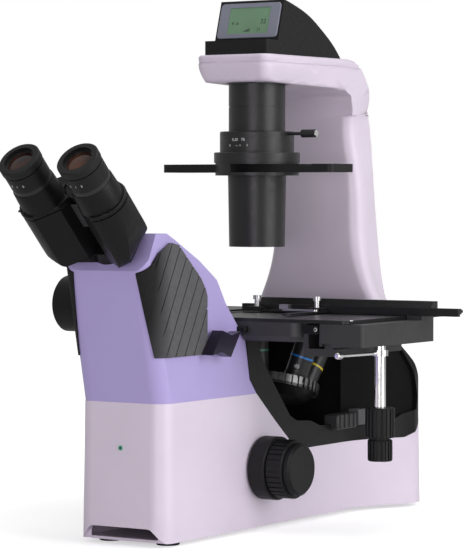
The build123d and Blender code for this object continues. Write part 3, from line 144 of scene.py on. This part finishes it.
def moulded(name, level, roughness=0.5, cell=420):
    """Spark-eroded texture of moulded black plastic."""
    colour = (level, level, level * 1.05, 1)
    finish = Finish(name).plain(specular_ior_level=0.22)
    cells = finish.place.node("TexVoronoi", {"Vector": finish.place, "Scale": cell}, out=0)
    fine = finish.place.noise(cell * 4, 2)
    finish.feed("Base Color", fine.ramp(0.3, 0.7).blend(shaded(colour, 0.85), shaded(colour, 1.15)))
    finish.feed("Roughness", cells.ramp(0.0, 0.8, roughness - 0.08, roughness + 0.10))
    return finish.bump(cells * 0.6 + fine * 0.4, 0.25, 0.0003).material


def rubber(name, colour, roughness=0.72, painted_shade_span=None):
    """Matt rubber with dust in its grain; an optional pair of Y places gives painted shade: in front of the first the
    rubber is painted near black for the shade on its front edge, and by the second it is back to its own tone.
    """
    finish = Finish(name).plain(specular_ior_level=0.3)
    dust = finish.place.noise(260, 5, 0.65)
    tone = dust.ramp(0.35, 0.75).blend(shaded(colour, 0.85), shaded(colour, 1.2))
    if painted_shade_span:
        # Painted shade: near black in front of the first Y place, fading to the rubber's own tone by the second.
        tone = finish.place.axis("Y").ramp(*painted_shade_span).blend(shaded(colour, 0.06), tone)
    finish.feed("Base Color", tone)
    finish.feed("Roughness", dust.ramp(0.3, 0.7, roughness - 0.08, roughness + 0.1))
    return finish.bump(finish.place.noise(1300, 3), 0.3, 0.00025).material


def brushed(name, level, stretch, roughness=0.28):
    """Turned or brushed metal with fine lines across one direction."""
    finish = Finish(name).plain(metallic=1.0)
    lines = finish.place.stretched(stretch).noise(1, 3)
    finish.feed("Base Color", lines.ramp(0.3, 0.7).blend((level * 0.86,) * 3 + (1,), (level, level, level * 1.01, 1)))
    finish.feed("Roughness", lines.ramp(0.3, 0.7, roughness - 0.08, roughness + 0.1))
    return finish.bump(lines, 0.12, 0.0001).material


def two_tone(name, origin, up, low, bright, dark):
    """Turned metal left bright above a height along up, and blackened below it."""
    finish = Finish(name)
    height = finish.place.node("VectorMath", {0: finish.place, 1: up}, out=1, operation="DOT_PRODUCT")
    base = Vector(origin).dot(Vector(up))
    share = height.ramp(base + low, base + low + 0.0003)
    lines = finish.place.noise(700, 3)
    bright_lines = lines.ramp(0.3, 0.7).blend((bright * 0.7,) * 3 + (1,), (bright,) * 3 + (1,))
    finish.feed("Base Color", share.blend((dark, dark, dark * 1.05, 1), bright_lines))
    finish.feed("Metallic", share)
    finish.feed("Roughness", lines.ramp(0.3, 0.7, 0.24, 0.42))
    return finish.material


def plated(name, level=0.82, roughness=0.07):
    finish = Finish(name).plain(metallic=1.0)
    haze = finish.place.noise(90, 3)
    finish.feed("Base Color", haze.ramp(0.3, 0.7).blend((level * 0.96,) * 3 + (1,), (level,) * 3 + (1,)))
    finish.feed("Roughness", haze.ramp(0.3, 0.7, roughness * 0.6, roughness * 1.8))
    return finish.material


def lens(name, tint, deep):
    """Coated lens: dark inside with a warm glow that changes over its face."""
    finish = Finish(name).plain(coat_weight=0.15, coat_roughness=0.02, specular_ior_level=0.35, roughness=0.08)
    glow = finish.place.noise(45, 2)
    finish.feed("Base Color", glow.ramp(0.35, 0.65).blend(deep, tint))
    return finish.material


def panel_glass(name, colour):
    """Liquid-crystal panel: even green with its fine cell grid."""
    finish = Finish(name).plain(specular_ior_level=0.5, coat_weight=0.6, coat_roughness=0.05)
    across = finish.place.axis("X") * 2600
    lines = finish.place.node("Math", {0: across}, operation="SINE").ramp(-1, 1)
    cloud = finish.place.noise(40, 2)
    tone = cloud.ramp(0.3, 0.7).blend(shaded(colour, 0.93), shaded(colour, 1.05))
    finish.feed("Base Color", (lines * 0.08).blend(tone, shaded(colour, 0.7)))
    finish.feed("Roughness", cloud.ramp(0.3, 0.7, 0.18, 0.28))
    return finish.material


lilac = rgb(227, 215, 232)
violet = rgb(180, 166, 221)
lilac_enamel = enamel("lilac_enamel", lilac)
violet_enamel = enamel("violet_enamel", violet)
satin_black = black_enamel("satin_black", 0.006, 0.36, shine=0.2)
bay_black = black_enamel("bay_black", 0.003, 0.5, shine=0.08)
stage_black = black_enamel("stage_black", 0.012, 0.34, 2200, 0.12, 0.35)
stage_grey = black_enamel("stage_grey", 0.030, 0.46, 1700, 0.3, 0.45)
tube_black = black_enamel("tube_black", 0.016, 0.36, shine=0.4)
hood_black = moulded("hood_black", 0.010, 0.46)
knob_black = moulded("knob_black", 0.009, 0.42, 700)
slider_black = moulded("slider_black", 0.012, 0.4, 900)
# The grip pads get painted shade: near black in front of Y = -0.247 m, their own grey behind Y = -0.222 m.
pad_rubber = rubber("pad_rubber", (0.105, 0.104, 0.110, 1), 0.72, (-0.247, -0.222))
cup_rubber = rubber("cup_rubber", (0.007, 0.007, 0.007, 1), 0.55)
handle_violet = enamel("handle_violet", rgb(30, 24, 42), 0.35)
foot_rubber = rubber("foot_rubber", (0.015, 0.015, 0.015, 1))
turned_steel = brushed("turned_steel", 0.60, (1, 1, 2200))
chrome = plated("chrome")
bezel_silver = enamel("bezel_silver", rgb(134, 137, 152), 0.32)
screen_green = panel_glass("screen_green", rgb(112, 150, 118))
mirror_glass = plated("mirror_glass", 0.9, 0.03)
eye_glass = lens("eye_glass", (0.11, 0.035, 0.018, 1), (0.012, 0.006, 0.005, 1))
front_glass = lens("front_glass", (0.03, 0.05, 0.08, 1), (0.006, 0.008, 0.012, 1))
mark_white = enamel("mark_white", rgb(225, 225, 225), 0.5)
led_green = enamel("led_green", rgb(30, 105, 80), 0.2)
led_ring_green = enamel("led_ring_green", rgb(120, 195, 170), 0.3)
mirror_grey = black_enamel("mirror_grey", 0.09, 0.5, 1700, 0.3)
band_blue = enamel("band_blue", rgb(40, 120, 200), 0.3)
band_green = enamel("band_green", rgb(40, 130, 110), 0.3)
band_yellow = enamel("band_yellow", rgb(215, 190, 50), 0.3)
band_red = enamel("band_red", rgb(190, 50, 45), 0.3)
ink = enamel("ink", rgb(40, 52, 44), 0.4)

tilt = radians(16)
turret_axis = Vector((0, sin(tilt), cos(tilt)))
turret_centre = Vector((0, 30, 132)) * mm
turret_steel = two_tone("turret_steel", turret_centre, turret_axis, -0.0025, 0.20, 0.012)

node_finish = {
    lilac_enamel: ["base_casting", "arm_column", "arm_cover", "bottom_plate"],
    violet_enamel: ["front_housing"],
    satin_black: ["side_frames", "nosepiece_carrier", "camera_port", "head_base",
                  "prism_housing_right", "prism_housing_left"],
    bay_black: ["bay_liner"],
    handle_violet: ["light_path_handle"],
    stage_black: ["stage_plate", "stage_insert", "x_guide", "x_slide", "specimen_holder"],
    stage_grey: ["stage_body", "stage_bracket", "y_carriage"],
    tube_black: ["condenser_tube", "slider_holder", "lower_barrel", "iris_lever", "objective_4x", "objective_10x",
                 "objective_20x", "objective_40x", "eyepiece_right", "eyepiece_left"],
    hood_black: ["display_hood", "power_inlet", "power_switch"],
    knob_black: ["tension_ring", "coarse_knob_right", "coarse_knob_left", "fine_knob_right", "fine_knob_left",
                 "y_knob", "x_knob", "brightness_dial", "dioptre_ring_right", "dioptre_ring_left"],
    slider_black: ["phase_slider"],
    pad_rubber: ["grip_pads"],
    cup_rubber: ["eyecup_right", "eyecup_left"],
    foot_rubber: ["rubber_feet"],
    turned_steel: ["holder_screws", "slide_finger"],
    turret_steel: ["turret"],
    chrome: ["y_tube", "clamp_lever"],
    bezel_silver: ["display_bezel"],
    screen_green: ["display_screen"],
    mirror_glass: ["folding_mirror"],
    front_glass: ["condenser_lens"],
    led_green: ["power_led"],
}
for finish, names in node_finish.items():
    for name in names:
        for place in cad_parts[name].material_slots:
            place.material = finish

# ---------------------------------------------------------------- camera, light and floor

camera_data = bpy.data.cameras.new("camera")
camera = bpy.data.objects.new("camera", camera_data)
bpy.context.scene.collection.objects.link(camera)
camera_data.lens = 174.1
camera_data.sensor_width = 36
camera_data.clip_end = 30
camera.location = (1.3966, -2.2134, 0.3252)
camera.rotation_euler = (radians(90 - 1.84), 0, radians(32.8))
bpy.context.scene.camera = camera
bpy.context.scene.view_settings.view_transform = "Standard"


def lamp(name, place, target, size, power):
    data = bpy.data.lights.new(name, "AREA")
    data.shape = "RECTANGLE"
    data.size, data.size_y = size
    data.energy = power
    light = bpy.data.objects.new(name, data)
    bpy.context.scene.collection.objects.link(light)
    light.location = place
    light.rotation_euler = (Vector(target) - Vector(place)).to_track_quat("-Z", "Y").to_euler()
    return light


lamp("right_window", (2.3, -0.1, 0.8), (0, 0, 0.25), (1.6, 1.8), 31)
lamp("top_panel", (0.3, 0.1, 2.2), (0, 0, 0.2), (1.6, 1.6), 14)
front_fill = lamp("front_fill", (0.7, -2.5, 0.10), (0, 0, 0.2), (1.4, 0.9), 20)
front_fill.data.color = (1.0, 0.93, 0.98)

world = bpy.data.worlds.new("studio")
bpy.context.scene.world = world
world.use_nodes = True
sky = world.node_tree
background = sky.nodes["Background"]
seen = Shade(sky, sky.nodes.new("ShaderNodeLightPath").outputs["Is Camera Ray"])
glossy = Shade(sky, seen.socket.node.outputs["Is Glossy Ray"])
level = seen.math("MAXIMUM", seen, glossy * 0.32).ramp(0, 1, 0.30, 1.0)
background.inputs["Color"].default_value = (1, 1, 1, 1)
sky.links.new(level.socket, background.inputs["Strength"])

floor_mesh = bmesh.new()
bmesh.ops.create_grid(floor_mesh, x_segments=1, y_segments=1, size=6)
floor_data = bpy.data.meshes.new("floor")
floor_mesh.to_mesh(floor_data)
floor = bpy.data.objects.new("floor", floor_data)
bpy.context.scene.collection.objects.link(floor)
paper = Finish("paper").plain(roughness=0.9, specular_ior_level=0.1)
paper.feed("Base Color", paper.place.noise(3, 2).ramp(0.3, 0.7).blend((0.88, 0.88, 0.88, 1), (0.90, 0.90, 0.90, 1)))
paper_seen = Shade(paper.tree, paper.tree.nodes.new("ShaderNodeLightPath").outputs["Is Camera Ray"])
# Painted shadow: the floor's glow for camera rays drops to 0.72 of full within 0.24 m of the stand's middle and rises
# to full by 0.5 m, so the floor reads darker round the stand.
painted_shadow_ramp = paper.place.node("VectorMath", {0: paper.place}, out=1, operation="LENGTH").ramp(0.24, 0.5, 0.72, 1.0)
paper_glow = (paper_seen * painted_shadow_ramp).blend((0, 0, 0, 1), (1, 1, 1, 1))
paper.feed("Emission Color", paper_glow).plain(emission_strength=0.76)
floor_data.materials.append(paper.material)

# ---------------------------------------------------------------- new pieces


def finished(name, mesh, material, body, bevel=0.0):
    """Turn a bmesh into a named object that rides on a body."""
    bmesh.ops.remove_doubles(mesh, verts=mesh.verts, dist=1e-7)
    bmesh.ops.recalc_face_normals(mesh, faces=mesh.faces)
    data = bpy.data.meshes.new(name)
    mesh.to_mesh(data)
    mesh.free()
    data.materials.append(material)
    data.polygons.foreach_set("use_smooth", [True] * len(data.polygons))
    data.set_sharp_from_angle(angle=radians(38))
    piece = bpy.data.objects.new(name, data)
    bpy.context.scene.collection.objects.link(piece)
    if bevel:
        edge = piece.modifiers.new("edge", "BEVEL")
        edge.width = bevel
        edge.segments = 2
        edge.limit_method = "ANGLE"
    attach(piece, body)
    return piece


def axes(origin, up, across=Vector((1, 0, 0))):
    """Matrix whose Z is up and whose X lies close to across."""
    up = Vector(up).normalized()
    side = (Vector(across) - up * up.dot(Vector(across))).normalized()
    frame_axes = Matrix((side, up.cross(side), up)).transposed().to_4x4()
    return Matrix.Translation(Vector(origin)) @ frame_axes


def turned(outline, place, steps=64):
    """Closed ring or disc spun from (radius, height) points in metres."""
    mesh = bmesh.new()
    verts = [mesh.verts.new((radius, 0, height)) for radius, height in outline]
    edges = [mesh.edges.new(pair) for pair in zip(verts, verts[1:] + verts[:1])]
    bmesh.ops.spin(mesh, geom=verts + edges, cent=(0, 0, 0), axis=(0, 0, 1), angle=2 * pi, steps=steps, use_merge=True)
    bmesh.ops.transform(mesh, matrix=place, verts=mesh.verts)
    return mesh


apex = turret_centre - turret_axis * (30 / sin(tilt)) * mm
tube_up = Vector((0, -cos(radians(45)), sin(radians(45))))
tube_length = 0.125
steps_round_screw = 24


def eye_centre(side):
    """Middle of an eyecup's rim: side is 1 for the right and -1 for the left."""
    return Vector((side * 31.85, -343.3, 352.3)) * mm


def eye_tube_place(side):
    """Foot of an eyepiece tube, with Z along the tube."""
    return axes(eye_centre(side) - tube_up * tube_length, tube_up)


def objective_axis(index):
    turn = radians(72 * index)
    side = Vector((1, 0, 0))
    back = turret_axis.cross(side)
    direction = side * sin(tilt) * sin(turn) - back * sin(tilt) * cos(turn) + turret_axis * cos(tilt)
    shoulder = apex + direction * (204.5 * mm - apex.z - 60 * mm)
    return shoulder, direction


# Colour bands and front lenses of the objectives
for name, index, band, gap in (("20x", 0, band_green, 6), ("40x", 1, band_blue, 3),
                               ("10x", 2, band_yellow, 10), ("4x", 4, band_red, 18)):
    shoulder, direction = objective_axis(index)
    place = axes(shoulder, direction)
    ring = [(11.45 * mm, 22 * mm), (11.72 * mm, 22.2 * mm), (11.72 * mm, 24.0 * mm), (11.45 * mm, 24.2 * mm)]
    finished("band_" + name, turned(ring, place), band, "turret_body")
    top = (60 - gap) * mm
    glass = [(0.0002, top - 0.0009), (3.2 * mm, top - 0.0009), (3.2 * mm, top - 0.0003), (0.0002, top - 0.0001)]
    finished("front_lens_" + name, turned(glass, place), front_glass, "turret_body")

# Eye lenses with their retaining rings
for side, word in ((1, "right"), (-1, "left")):
    place = axes(eye_centre(side), tube_up)
    dome = [(0.0002, -6.1 * mm), (12.4 * mm, -6.1 * mm), (12.4 * mm, -4.6 * mm), (9.5 * mm, -3.7 * mm),
            (5 * mm, -3.1 * mm), (0.0002, -2.9 * mm)]
    finished("eye_lens_" + word, turned(dome, place), eye_glass, "eye_" + word)
    ring = [(12.3 * mm, -4.4 * mm), (13.3 * mm, -4.4 * mm), (13.3 * mm, -2.9 * mm), (12.6 * mm, -2.9 * mm)]
    finished("lens_ring_" + word, turned(ring, place), tube_black, "eye_" + word)


def outlined(points, low, high, place):
    """Straight-sided solid on a closed outline, points in millimetres."""
    mesh = bmesh.new()
    base = mesh.faces.new([mesh.verts.new((x * mm, y * mm, low * mm)) for x, y in points])
    raised = bmesh.ops.extrude_face_region(mesh, geom=[base])["geom"]
    raised_verts = [v for v in raised if isinstance(v, bmesh.types.BMVert)]
    bmesh.ops.translate(mesh, vec=(0, 0, (high - low) * mm), verts=raised_verts)
    bmesh.ops.transform(mesh, matrix=place, verts=mesh.verts)
    return mesh


def trimmed(mesh, point, away):
    """Cut off what lies beyond a plane, and close the cut."""
    parts = mesh.verts[:] + mesh.edges[:] + mesh.faces[:]
    cut = bmesh.ops.bisect_plane(mesh, geom=parts, plane_co=point, plane_no=away, clear_outer=True)["geom_cut"]
    rim = [e for e in cut if isinstance(e, bmesh.types.BMEdge)]
    bmesh.ops.edgeloop_fill(mesh, edges=rim)
    return mesh


# Head: the two prism housings with their plates and tubes, and the fixed blocks below them
hinge_place = axes(Vector((0, -240.22, 278.6)) * mm, tube_up)
arm_angle = -radians(33.06)
hinge_hollow = 17.9
hollow_end = radians(72)
front_limit = radians(-38.0)
ring_middle = 38
shell_low, shell_high = 9, 69.4
hull = [(33, 9), (37, 10.8), (40.6, 13.6), (43.6, 17.4), (46, 22.4), (48, 29), (49.8, 37), (51.6, 47), (53.4, 58),
        (55.2, 69.4)]
block_hull = [(17, -14), (23.6, -8), (29, 0), (33.8, 8.6)]
corner_cuts = ((0.30, -0.35, -0.89, 1.6), (0.42, -0.55, -0.72, 3.4), (0.52, -0.70, -0.49, 3.4))
tube_outline = [(17.2 * mm, 74 * mm), (21.4 * mm, 74 * mm), (20.9 * mm, 77 * mm), (20.0 * mm, 94.6 * mm),
                (19.4 * mm, 96 * mm), (17.2 * mm, 96 * mm)]
plate_screw_outline = [(0.0003, 0), (1.6 * mm, 0), (1.6 * mm, 0.5 * mm), (0.9 * mm, 0.5 * mm), (0.8 * mm, 0.2 * mm),
                       (0.0003, 0.2 * mm)]
slope_edge = Vector((0, -258.5, 252.15)) * mm
slope_down = Vector((0, 36, -18))
block_foot = 0.2595


def turned_point(radius, angle):
    return radius * cos(angle), radius * sin(angle)


def housing_plan(side, grow=0.0):
    """Outline of a prism housing along the tubes: flat in front, round outside, hollow round the hinge."""
    flat, ring = 19.5 + grow, 23.4 + grow
    points = [turned_point(hinge_hollow, front_limit), (flat / -sin(front_limit) * cos(front_limit), -flat)]
    start = asin(-flat / ring)
    for k in range(15):
        x, y = ring * cos(start + (pi / 2 - start) * k / 14), ring * sin(start + (pi / 2 - start) * k / 14)
        points.append((ring_middle + x, y))
    points += [(18, 21.5 + grow), (9.5, 18.5)]
    points += [turned_point(hinge_hollow, hollow_end + (front_limit - hollow_end) * k / 10) for k in range(10)]
    along_arm, across_arm = cos(arm_angle), sin(arm_angle)
    return [(side * (x * along_arm - y * across_arm), x * across_arm + y * along_arm) for x, y in points]


def hull_cut(mesh, side, cuts):
    """Boat-shaped underside: planes through (x, height) pairs in millimetres."""
    for (x1, z1), (x2, z2) in zip(cuts, cuts[1:]):
        point = hinge_place @ (Vector((side * x1, 0, z1)) * mm)
        away = hinge_place.to_3x3() @ Vector((side * (z2 - z1), 0, x1 - x2))
        trimmed(mesh, point, away)
    return mesh


for side, word in ((1, "right"), (-1, "left")):
    body = "eye_" + word
    shell = hull_cut(outlined(housing_plan(side), shell_low, shell_high, hinge_place), side, hull)
    for across, ahead, down, depth in corner_cuts:
        away = Vector((side * across, ahead, down))
        corner = Vector((side * 35.5, -43.9, 9.5)) - away * depth
        trimmed(shell, hinge_place @ (corner * mm), hinge_place.to_3x3() @ away)
    shell = finished("prism_shell_" + word, shell, satin_black, body, 2.6 * mm)
    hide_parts("prism_housing_" + word)
    joint = outlined(housing_plan(side, -1.2), 69, 70.6, hinge_place)
    finished("prism_joint_" + word, joint, satin_black, body)
    plate = outlined(housing_plan(side, 0.3), 70.3, 74.6, hinge_place)
    finished("prism_plate_" + word, plate, satin_black, body, 1.0 * mm)
    tube = turned(tube_outline, eye_tube_place(side))
    finished("eye_tube_" + word, tube, satin_black, body)
    neck = hull_cut(outlined(housing_plan(side), -14, 8.6, hinge_place), side, block_hull)
    trimmed(neck, slope_edge, slope_down)
    trimmed(neck, Vector((0, 0, block_foot)), Vector((0, 0, -1)))
    finished("neck_block_" + word, neck, satin_black, "stand", 0.8 * mm)
    for x, y in ((44, -39.5), (49.5, -36)):
        spot = hinge_place @ Matrix.Translation(Vector((side * x, y, 74.5)) * mm)
        head = turned(plate_screw_outline, spot, steps_round_screw)
        finished(f"plate_screw_{word}_{x:.0f}", head, tube_black, body)

# Arm and its cover: copies of the two nodes, with the back drawn out to one round line (all in millimetres)
neck_z = 402
seam_z = 448
lip_share = 0.984
old_arc_y, old_arc_z, old_arc_square = 155.07, 455.07, 3033.8
corner_round, corner_y = 11, 143
column_anchor_y = 118
true_back = [(400, 153.8), (405, 153.2), (410, 152.0), (415, 150.4), (420, 148.2), (425, 145.6), (430, 142.6),
             (435, 139), (440, 134.6), (445, 129), (450, 121), (456, 103)]
arch_line = [(402, 107), (405, 107.4), (410, 106.3), (415, 104), (420, 99), (425, 96), (456, 96)]
column_scale = [(200, 1.0), (220, 0.97), (240, 0.953), (260, 0.963), (280, 1.0), (300, 1.039), (320, 1.061),
                (340, 1.037), (360, 0.972), (380, 0.92), (392, 0.925), (397, 0.94), (402, 0.994)]


def along(line, height):
    """Straight-line reading of a list of (height, value) points."""
    for (low, first), (high, second) in zip(line, line[1:]):
        if height <= high:
            return first + (second - first) * max(0.0, height - low) / (high - low)
    return line[-1][1]


def arm_half(y):
    """Half width of the arm at a place along Y, with its rounded rear corners."""
    wide = 46.5 - 3.5 * max(0.0, y - 106) / 48
    if y <= corner_y:
        return wide
    return wide - (corner_round - sqrt(corner_round**2 - min(10.9, y - corner_y) ** 2))


def held(value, low=0.0, high=1.0):
    return max(low, min(high, value))


def redrawn(node_name):
    """Copy of a node with the back of the arm drawn out and the underside of its front end tapered."""
    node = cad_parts[node_name]
    mesh = bmesh.new()
    mesh.from_mesh(node.data)
    bmesh.ops.transform(mesh, matrix=node.matrix_world, verts=mesh.verts)
    bmesh.ops.remove_doubles(mesh, verts=mesh.verts, dist=1e-6)
    for _ in range(3):
        long = [e for e in mesh.edges if e.calc_length() > 0.009 and max(v.co.z for v in e.verts) > 0.396]
        bmesh.ops.subdivide_edges(mesh, edges=long, cuts=1)
        bmesh.ops.triangulate(mesh, faces=[f for f in mesh.faces if len(f.verts) > 4])
    for vert in mesh.verts:
        x, y, z = vert.co / mm
        if 200 < z <= neck_z and y > column_anchor_y:
            scale = along(column_scale, z)
            x *= 1 + (scale - 1) * min(1.0, (y - column_anchor_y) / 25)
            y = column_anchor_y + (y - column_anchor_y) * scale
            room = arm_half(y) + 1.2 * max(0.0, 398 - z) ** 0.7
            x = held(x, -room, room) if z > 375 else x
        elif z > neck_z and y > 90:
            old = old_arc_y - sqrt(old_arc_square - (old_arc_z - z) ** 2)
            new = along(true_back, z)
            start_y = along(arch_line, z)
            if y > start_y:
                y = start_y + (y - start_y) * (new - start_y) / (old - start_y)
            x = held(x, -arm_half(y), arm_half(y))
        if 424 < z < 447 and y < 70:
            inset = 5.5 * min(1.0, (447 - z) / 17) ** 1.7 * held((sqrt(x * x + y * y) - 34) / 6)
            x *= 1 - inset / 42 * min(1.0, (70 - y) / 60)
            y += inset * held((-20 - y) / 28)
        if abs(z - seam_z) < 0.05 and node_name == "arm_cover":
            x, y = x * lip_share, y * lip_share
        vert.co = Vector((x, y, z)) * mm
    return mesh


for node_name, piece_name in (("arm_column", "arm_casting"), ("arm_cover", "arm_lid")):
    piece = finished(piece_name, redrawn(node_name), lilac_enamel, "stand")
    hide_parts(node_name)


# Numerals and marks
def label(name, words, size, material, place, body, radius=0.0, turn=0.0, height=0.0):
    """Flat or wrapped lettering: plain numerals, laid on a plane or bent round a cylinder."""
    font = bpy.data.curves.new(name, "FONT")
    font.body = words
    font.size = size
    font.align_x = "CENTER"
    font.align_y = "CENTER"
    font.resolution_u = 3
    font.extrude = 0.00004
    holder = bpy.data.objects.new(name, font)
    mesh = bmesh.new()
    mesh.from_mesh(bpy.data.meshes.new_from_object(holder))
    bpy.data.objects.remove(holder)
    for vert in mesh.verts:
        x, y, z = vert.co
        if radius:
            angle = x / radius + turn
            vert.co = ((radius + z) * sin(angle), -(radius + z) * cos(angle), y + height)
        else:
            vert.co = (x, y, z)
    bmesh.ops.transform(mesh, matrix=place, verts=mesh.verts)
    return finished(name, mesh, material, body)


def bar(size, place):
    """Box of the given size, centred on a place."""
    mesh = bmesh.new()
    bmesh.ops.create_cube(mesh, size=1)
    bmesh.ops.scale(mesh, vec=size, verts=mesh.verts)
    bmesh.ops.transform(mesh, matrix=place, verts=mesh.verts)
    return mesh


def screw(name, place, radius, head, material, body):
    """Cap screw with a round recess."""
    outline = [(radius * 0.45, 0), (radius, 0), (radius, head * 0.75), (radius * 0.85, head), (radius * 0.5, head),
               (radius * 0.45, head * 0.3)]
    return finished(name, turned(outline, place, steps_round_screw), material, body)


# Hinge cover between the housings
cover = bar((17 * mm, 1.6 * mm, 28 * mm), hinge_place @ Matrix.Translation(Vector((0, -18.6, 52)) * mm))
finished("hinge_cover", cover, stage_grey, "stand", 0.5 * mm)

slope = radians(16.7)
panel_up = Vector((0, -cos(slope), sin(slope)))
panel_middle = Vector((0, -14, 490)) * mm + panel_up * 0.62 * mm
panel_place = axes(panel_middle, panel_up)


def on_panel(x, y):
    return panel_place @ Matrix.Translation((x * mm, y * mm, 0))


for name, words, size, x, y in (("lcd_a", "4", 5.0, -18.5, -2.5), ("lcd_b", "20", 3.6, -13.4, -2.8),
                                ("lcd_c", "32", 7.0, 16.5, -1.5), ("lcd_d", "21", 4.6, 12.5, -9.6)):
    label(name, words, size * mm, ink, on_panel(x, y), "stand")
for step in range(5):
    tall = (1.0 + 0.55 * step) * mm
    spot = on_panel(-4.2 + 1.5 * step, -11.4 + tall / mm / 2)
    finished(f"lcd_bar_{step}", bar((1.0 * mm, tall, 0.08 * mm), spot), ink, "stand")

sleeve_place = axes((0, 0, 0), (0, 0, 1))
sleeve_marks = (("sleeve_numbers", "0.30   75", 4.0, 2, 373.6), ("sleeve_zero", "0", 3.4, -14, 368.0),
                ("sleeve_one", "1", 3.4, 17, 368.0), ("sleeve_arrow", "\u2013\u2013 >", 3.4, 2, 368.0))
for name, words, size, turn, height in sleeve_marks:
    label(name, words, size * mm, mark_white, sleeve_place, "stand", 36.52 * mm, radians(turn), height * mm)
for side, word in ((1, "right"), (-1, "left")):
    place = eye_tube_place(side)
    for words, turn in (("2", -54), ("1", -36), ("0", -18), ("1", 0), ("2", 18)):
        name = f"dioptre_{word}_{turn + 90}"
        label(name, words, 3.2 * mm, mark_white, place, "dioptre_" + word, 19.22 * mm, radians(turn), 108.5 * mm)
for name, index, words in (("20x", 0, "20"), ("40x", 1, "40"), ("10x", 2, "10"), ("4x", 4, "4")):
    shoulder, direction = objective_axis(index)
    place = axes(shoulder, direction)
    label("power_" + name, words, 5.5 * mm, mark_white, place, "turret_body", 11.52 * mm, radians(20), 13 * mm)


# Small fittings: blocks on the sill of the bay, a stop on the stage and its bright screws
def block(name, low, high, material, body, edge=0.6):
    size = (Vector(high) - Vector(low)) * mm
    centre = (Vector(high) + Vector(low)) / 2 * mm
    return finished(name, bar(size, Matrix.Translation(centre)), material, body, edge * mm)


block("sill_block", (40, 62, 86), (56, 100, 101), stage_grey, "stand", 1.5)
for step in range(4):
    y = 66 + 9 * step
    block(f"sill_rib_{step}", (55.5, y, 87), (57.2, y + 1.4, 101.4), stage_grey, "stand", 0.3)
block("sill_clip", (44, 102, 88), (57, 118, 104), mirror_grey, "stand", 1.0)
block("stage_stop", (43, -109.5, 190.5), (56, -103.5, 196.5), satin_black, "stand", 1.2)
block("bracket_block", (116, -103.5, 191), (132, -98.5, 200), satin_black, "stand", 0.8)
bracket_screw_place = axes((129.5 * mm, -103.4 * mm, 195.5 * mm), (0, -1, 0))
screw("bracket_screw", bracket_screw_place, 1.9 * mm, 1.0 * mm, chrome, "stand")
plate_screw_place = axes((165.5 * mm, -100 * mm, 204.4 * mm), (0, 0, 1))
screw("plate_screw", plate_screw_place, 2.0 * mm, 0.5 * mm, chrome, "stand")
led_place = axes((0, -233.35 * mm, 89.4 * mm), (0, -1, 0))
led_ring = [(1.7 * mm, 0), (2.5 * mm, 0), (2.4 * mm, 0.4 * mm), (1.75 * mm, 0.4 * mm)]
finished("led_ring", turned(led_ring, led_place, 32), led_ring_green, "stand")

# Bright end cap of the iris lever
cap_place = axes((67.2 * mm, 0, 379.6 * mm), (1, 0, 0), (0, 1, 0))
cap = [(0.0002, 0), (3.3 * mm, 0), (3.3 * mm, 1.0 * mm), (2.9 * mm, 1.4 * mm), (0.0002, 1.4 * mm)]
finished("iris_lever_cap", turned(cap, cap_place), chrome, "iris")
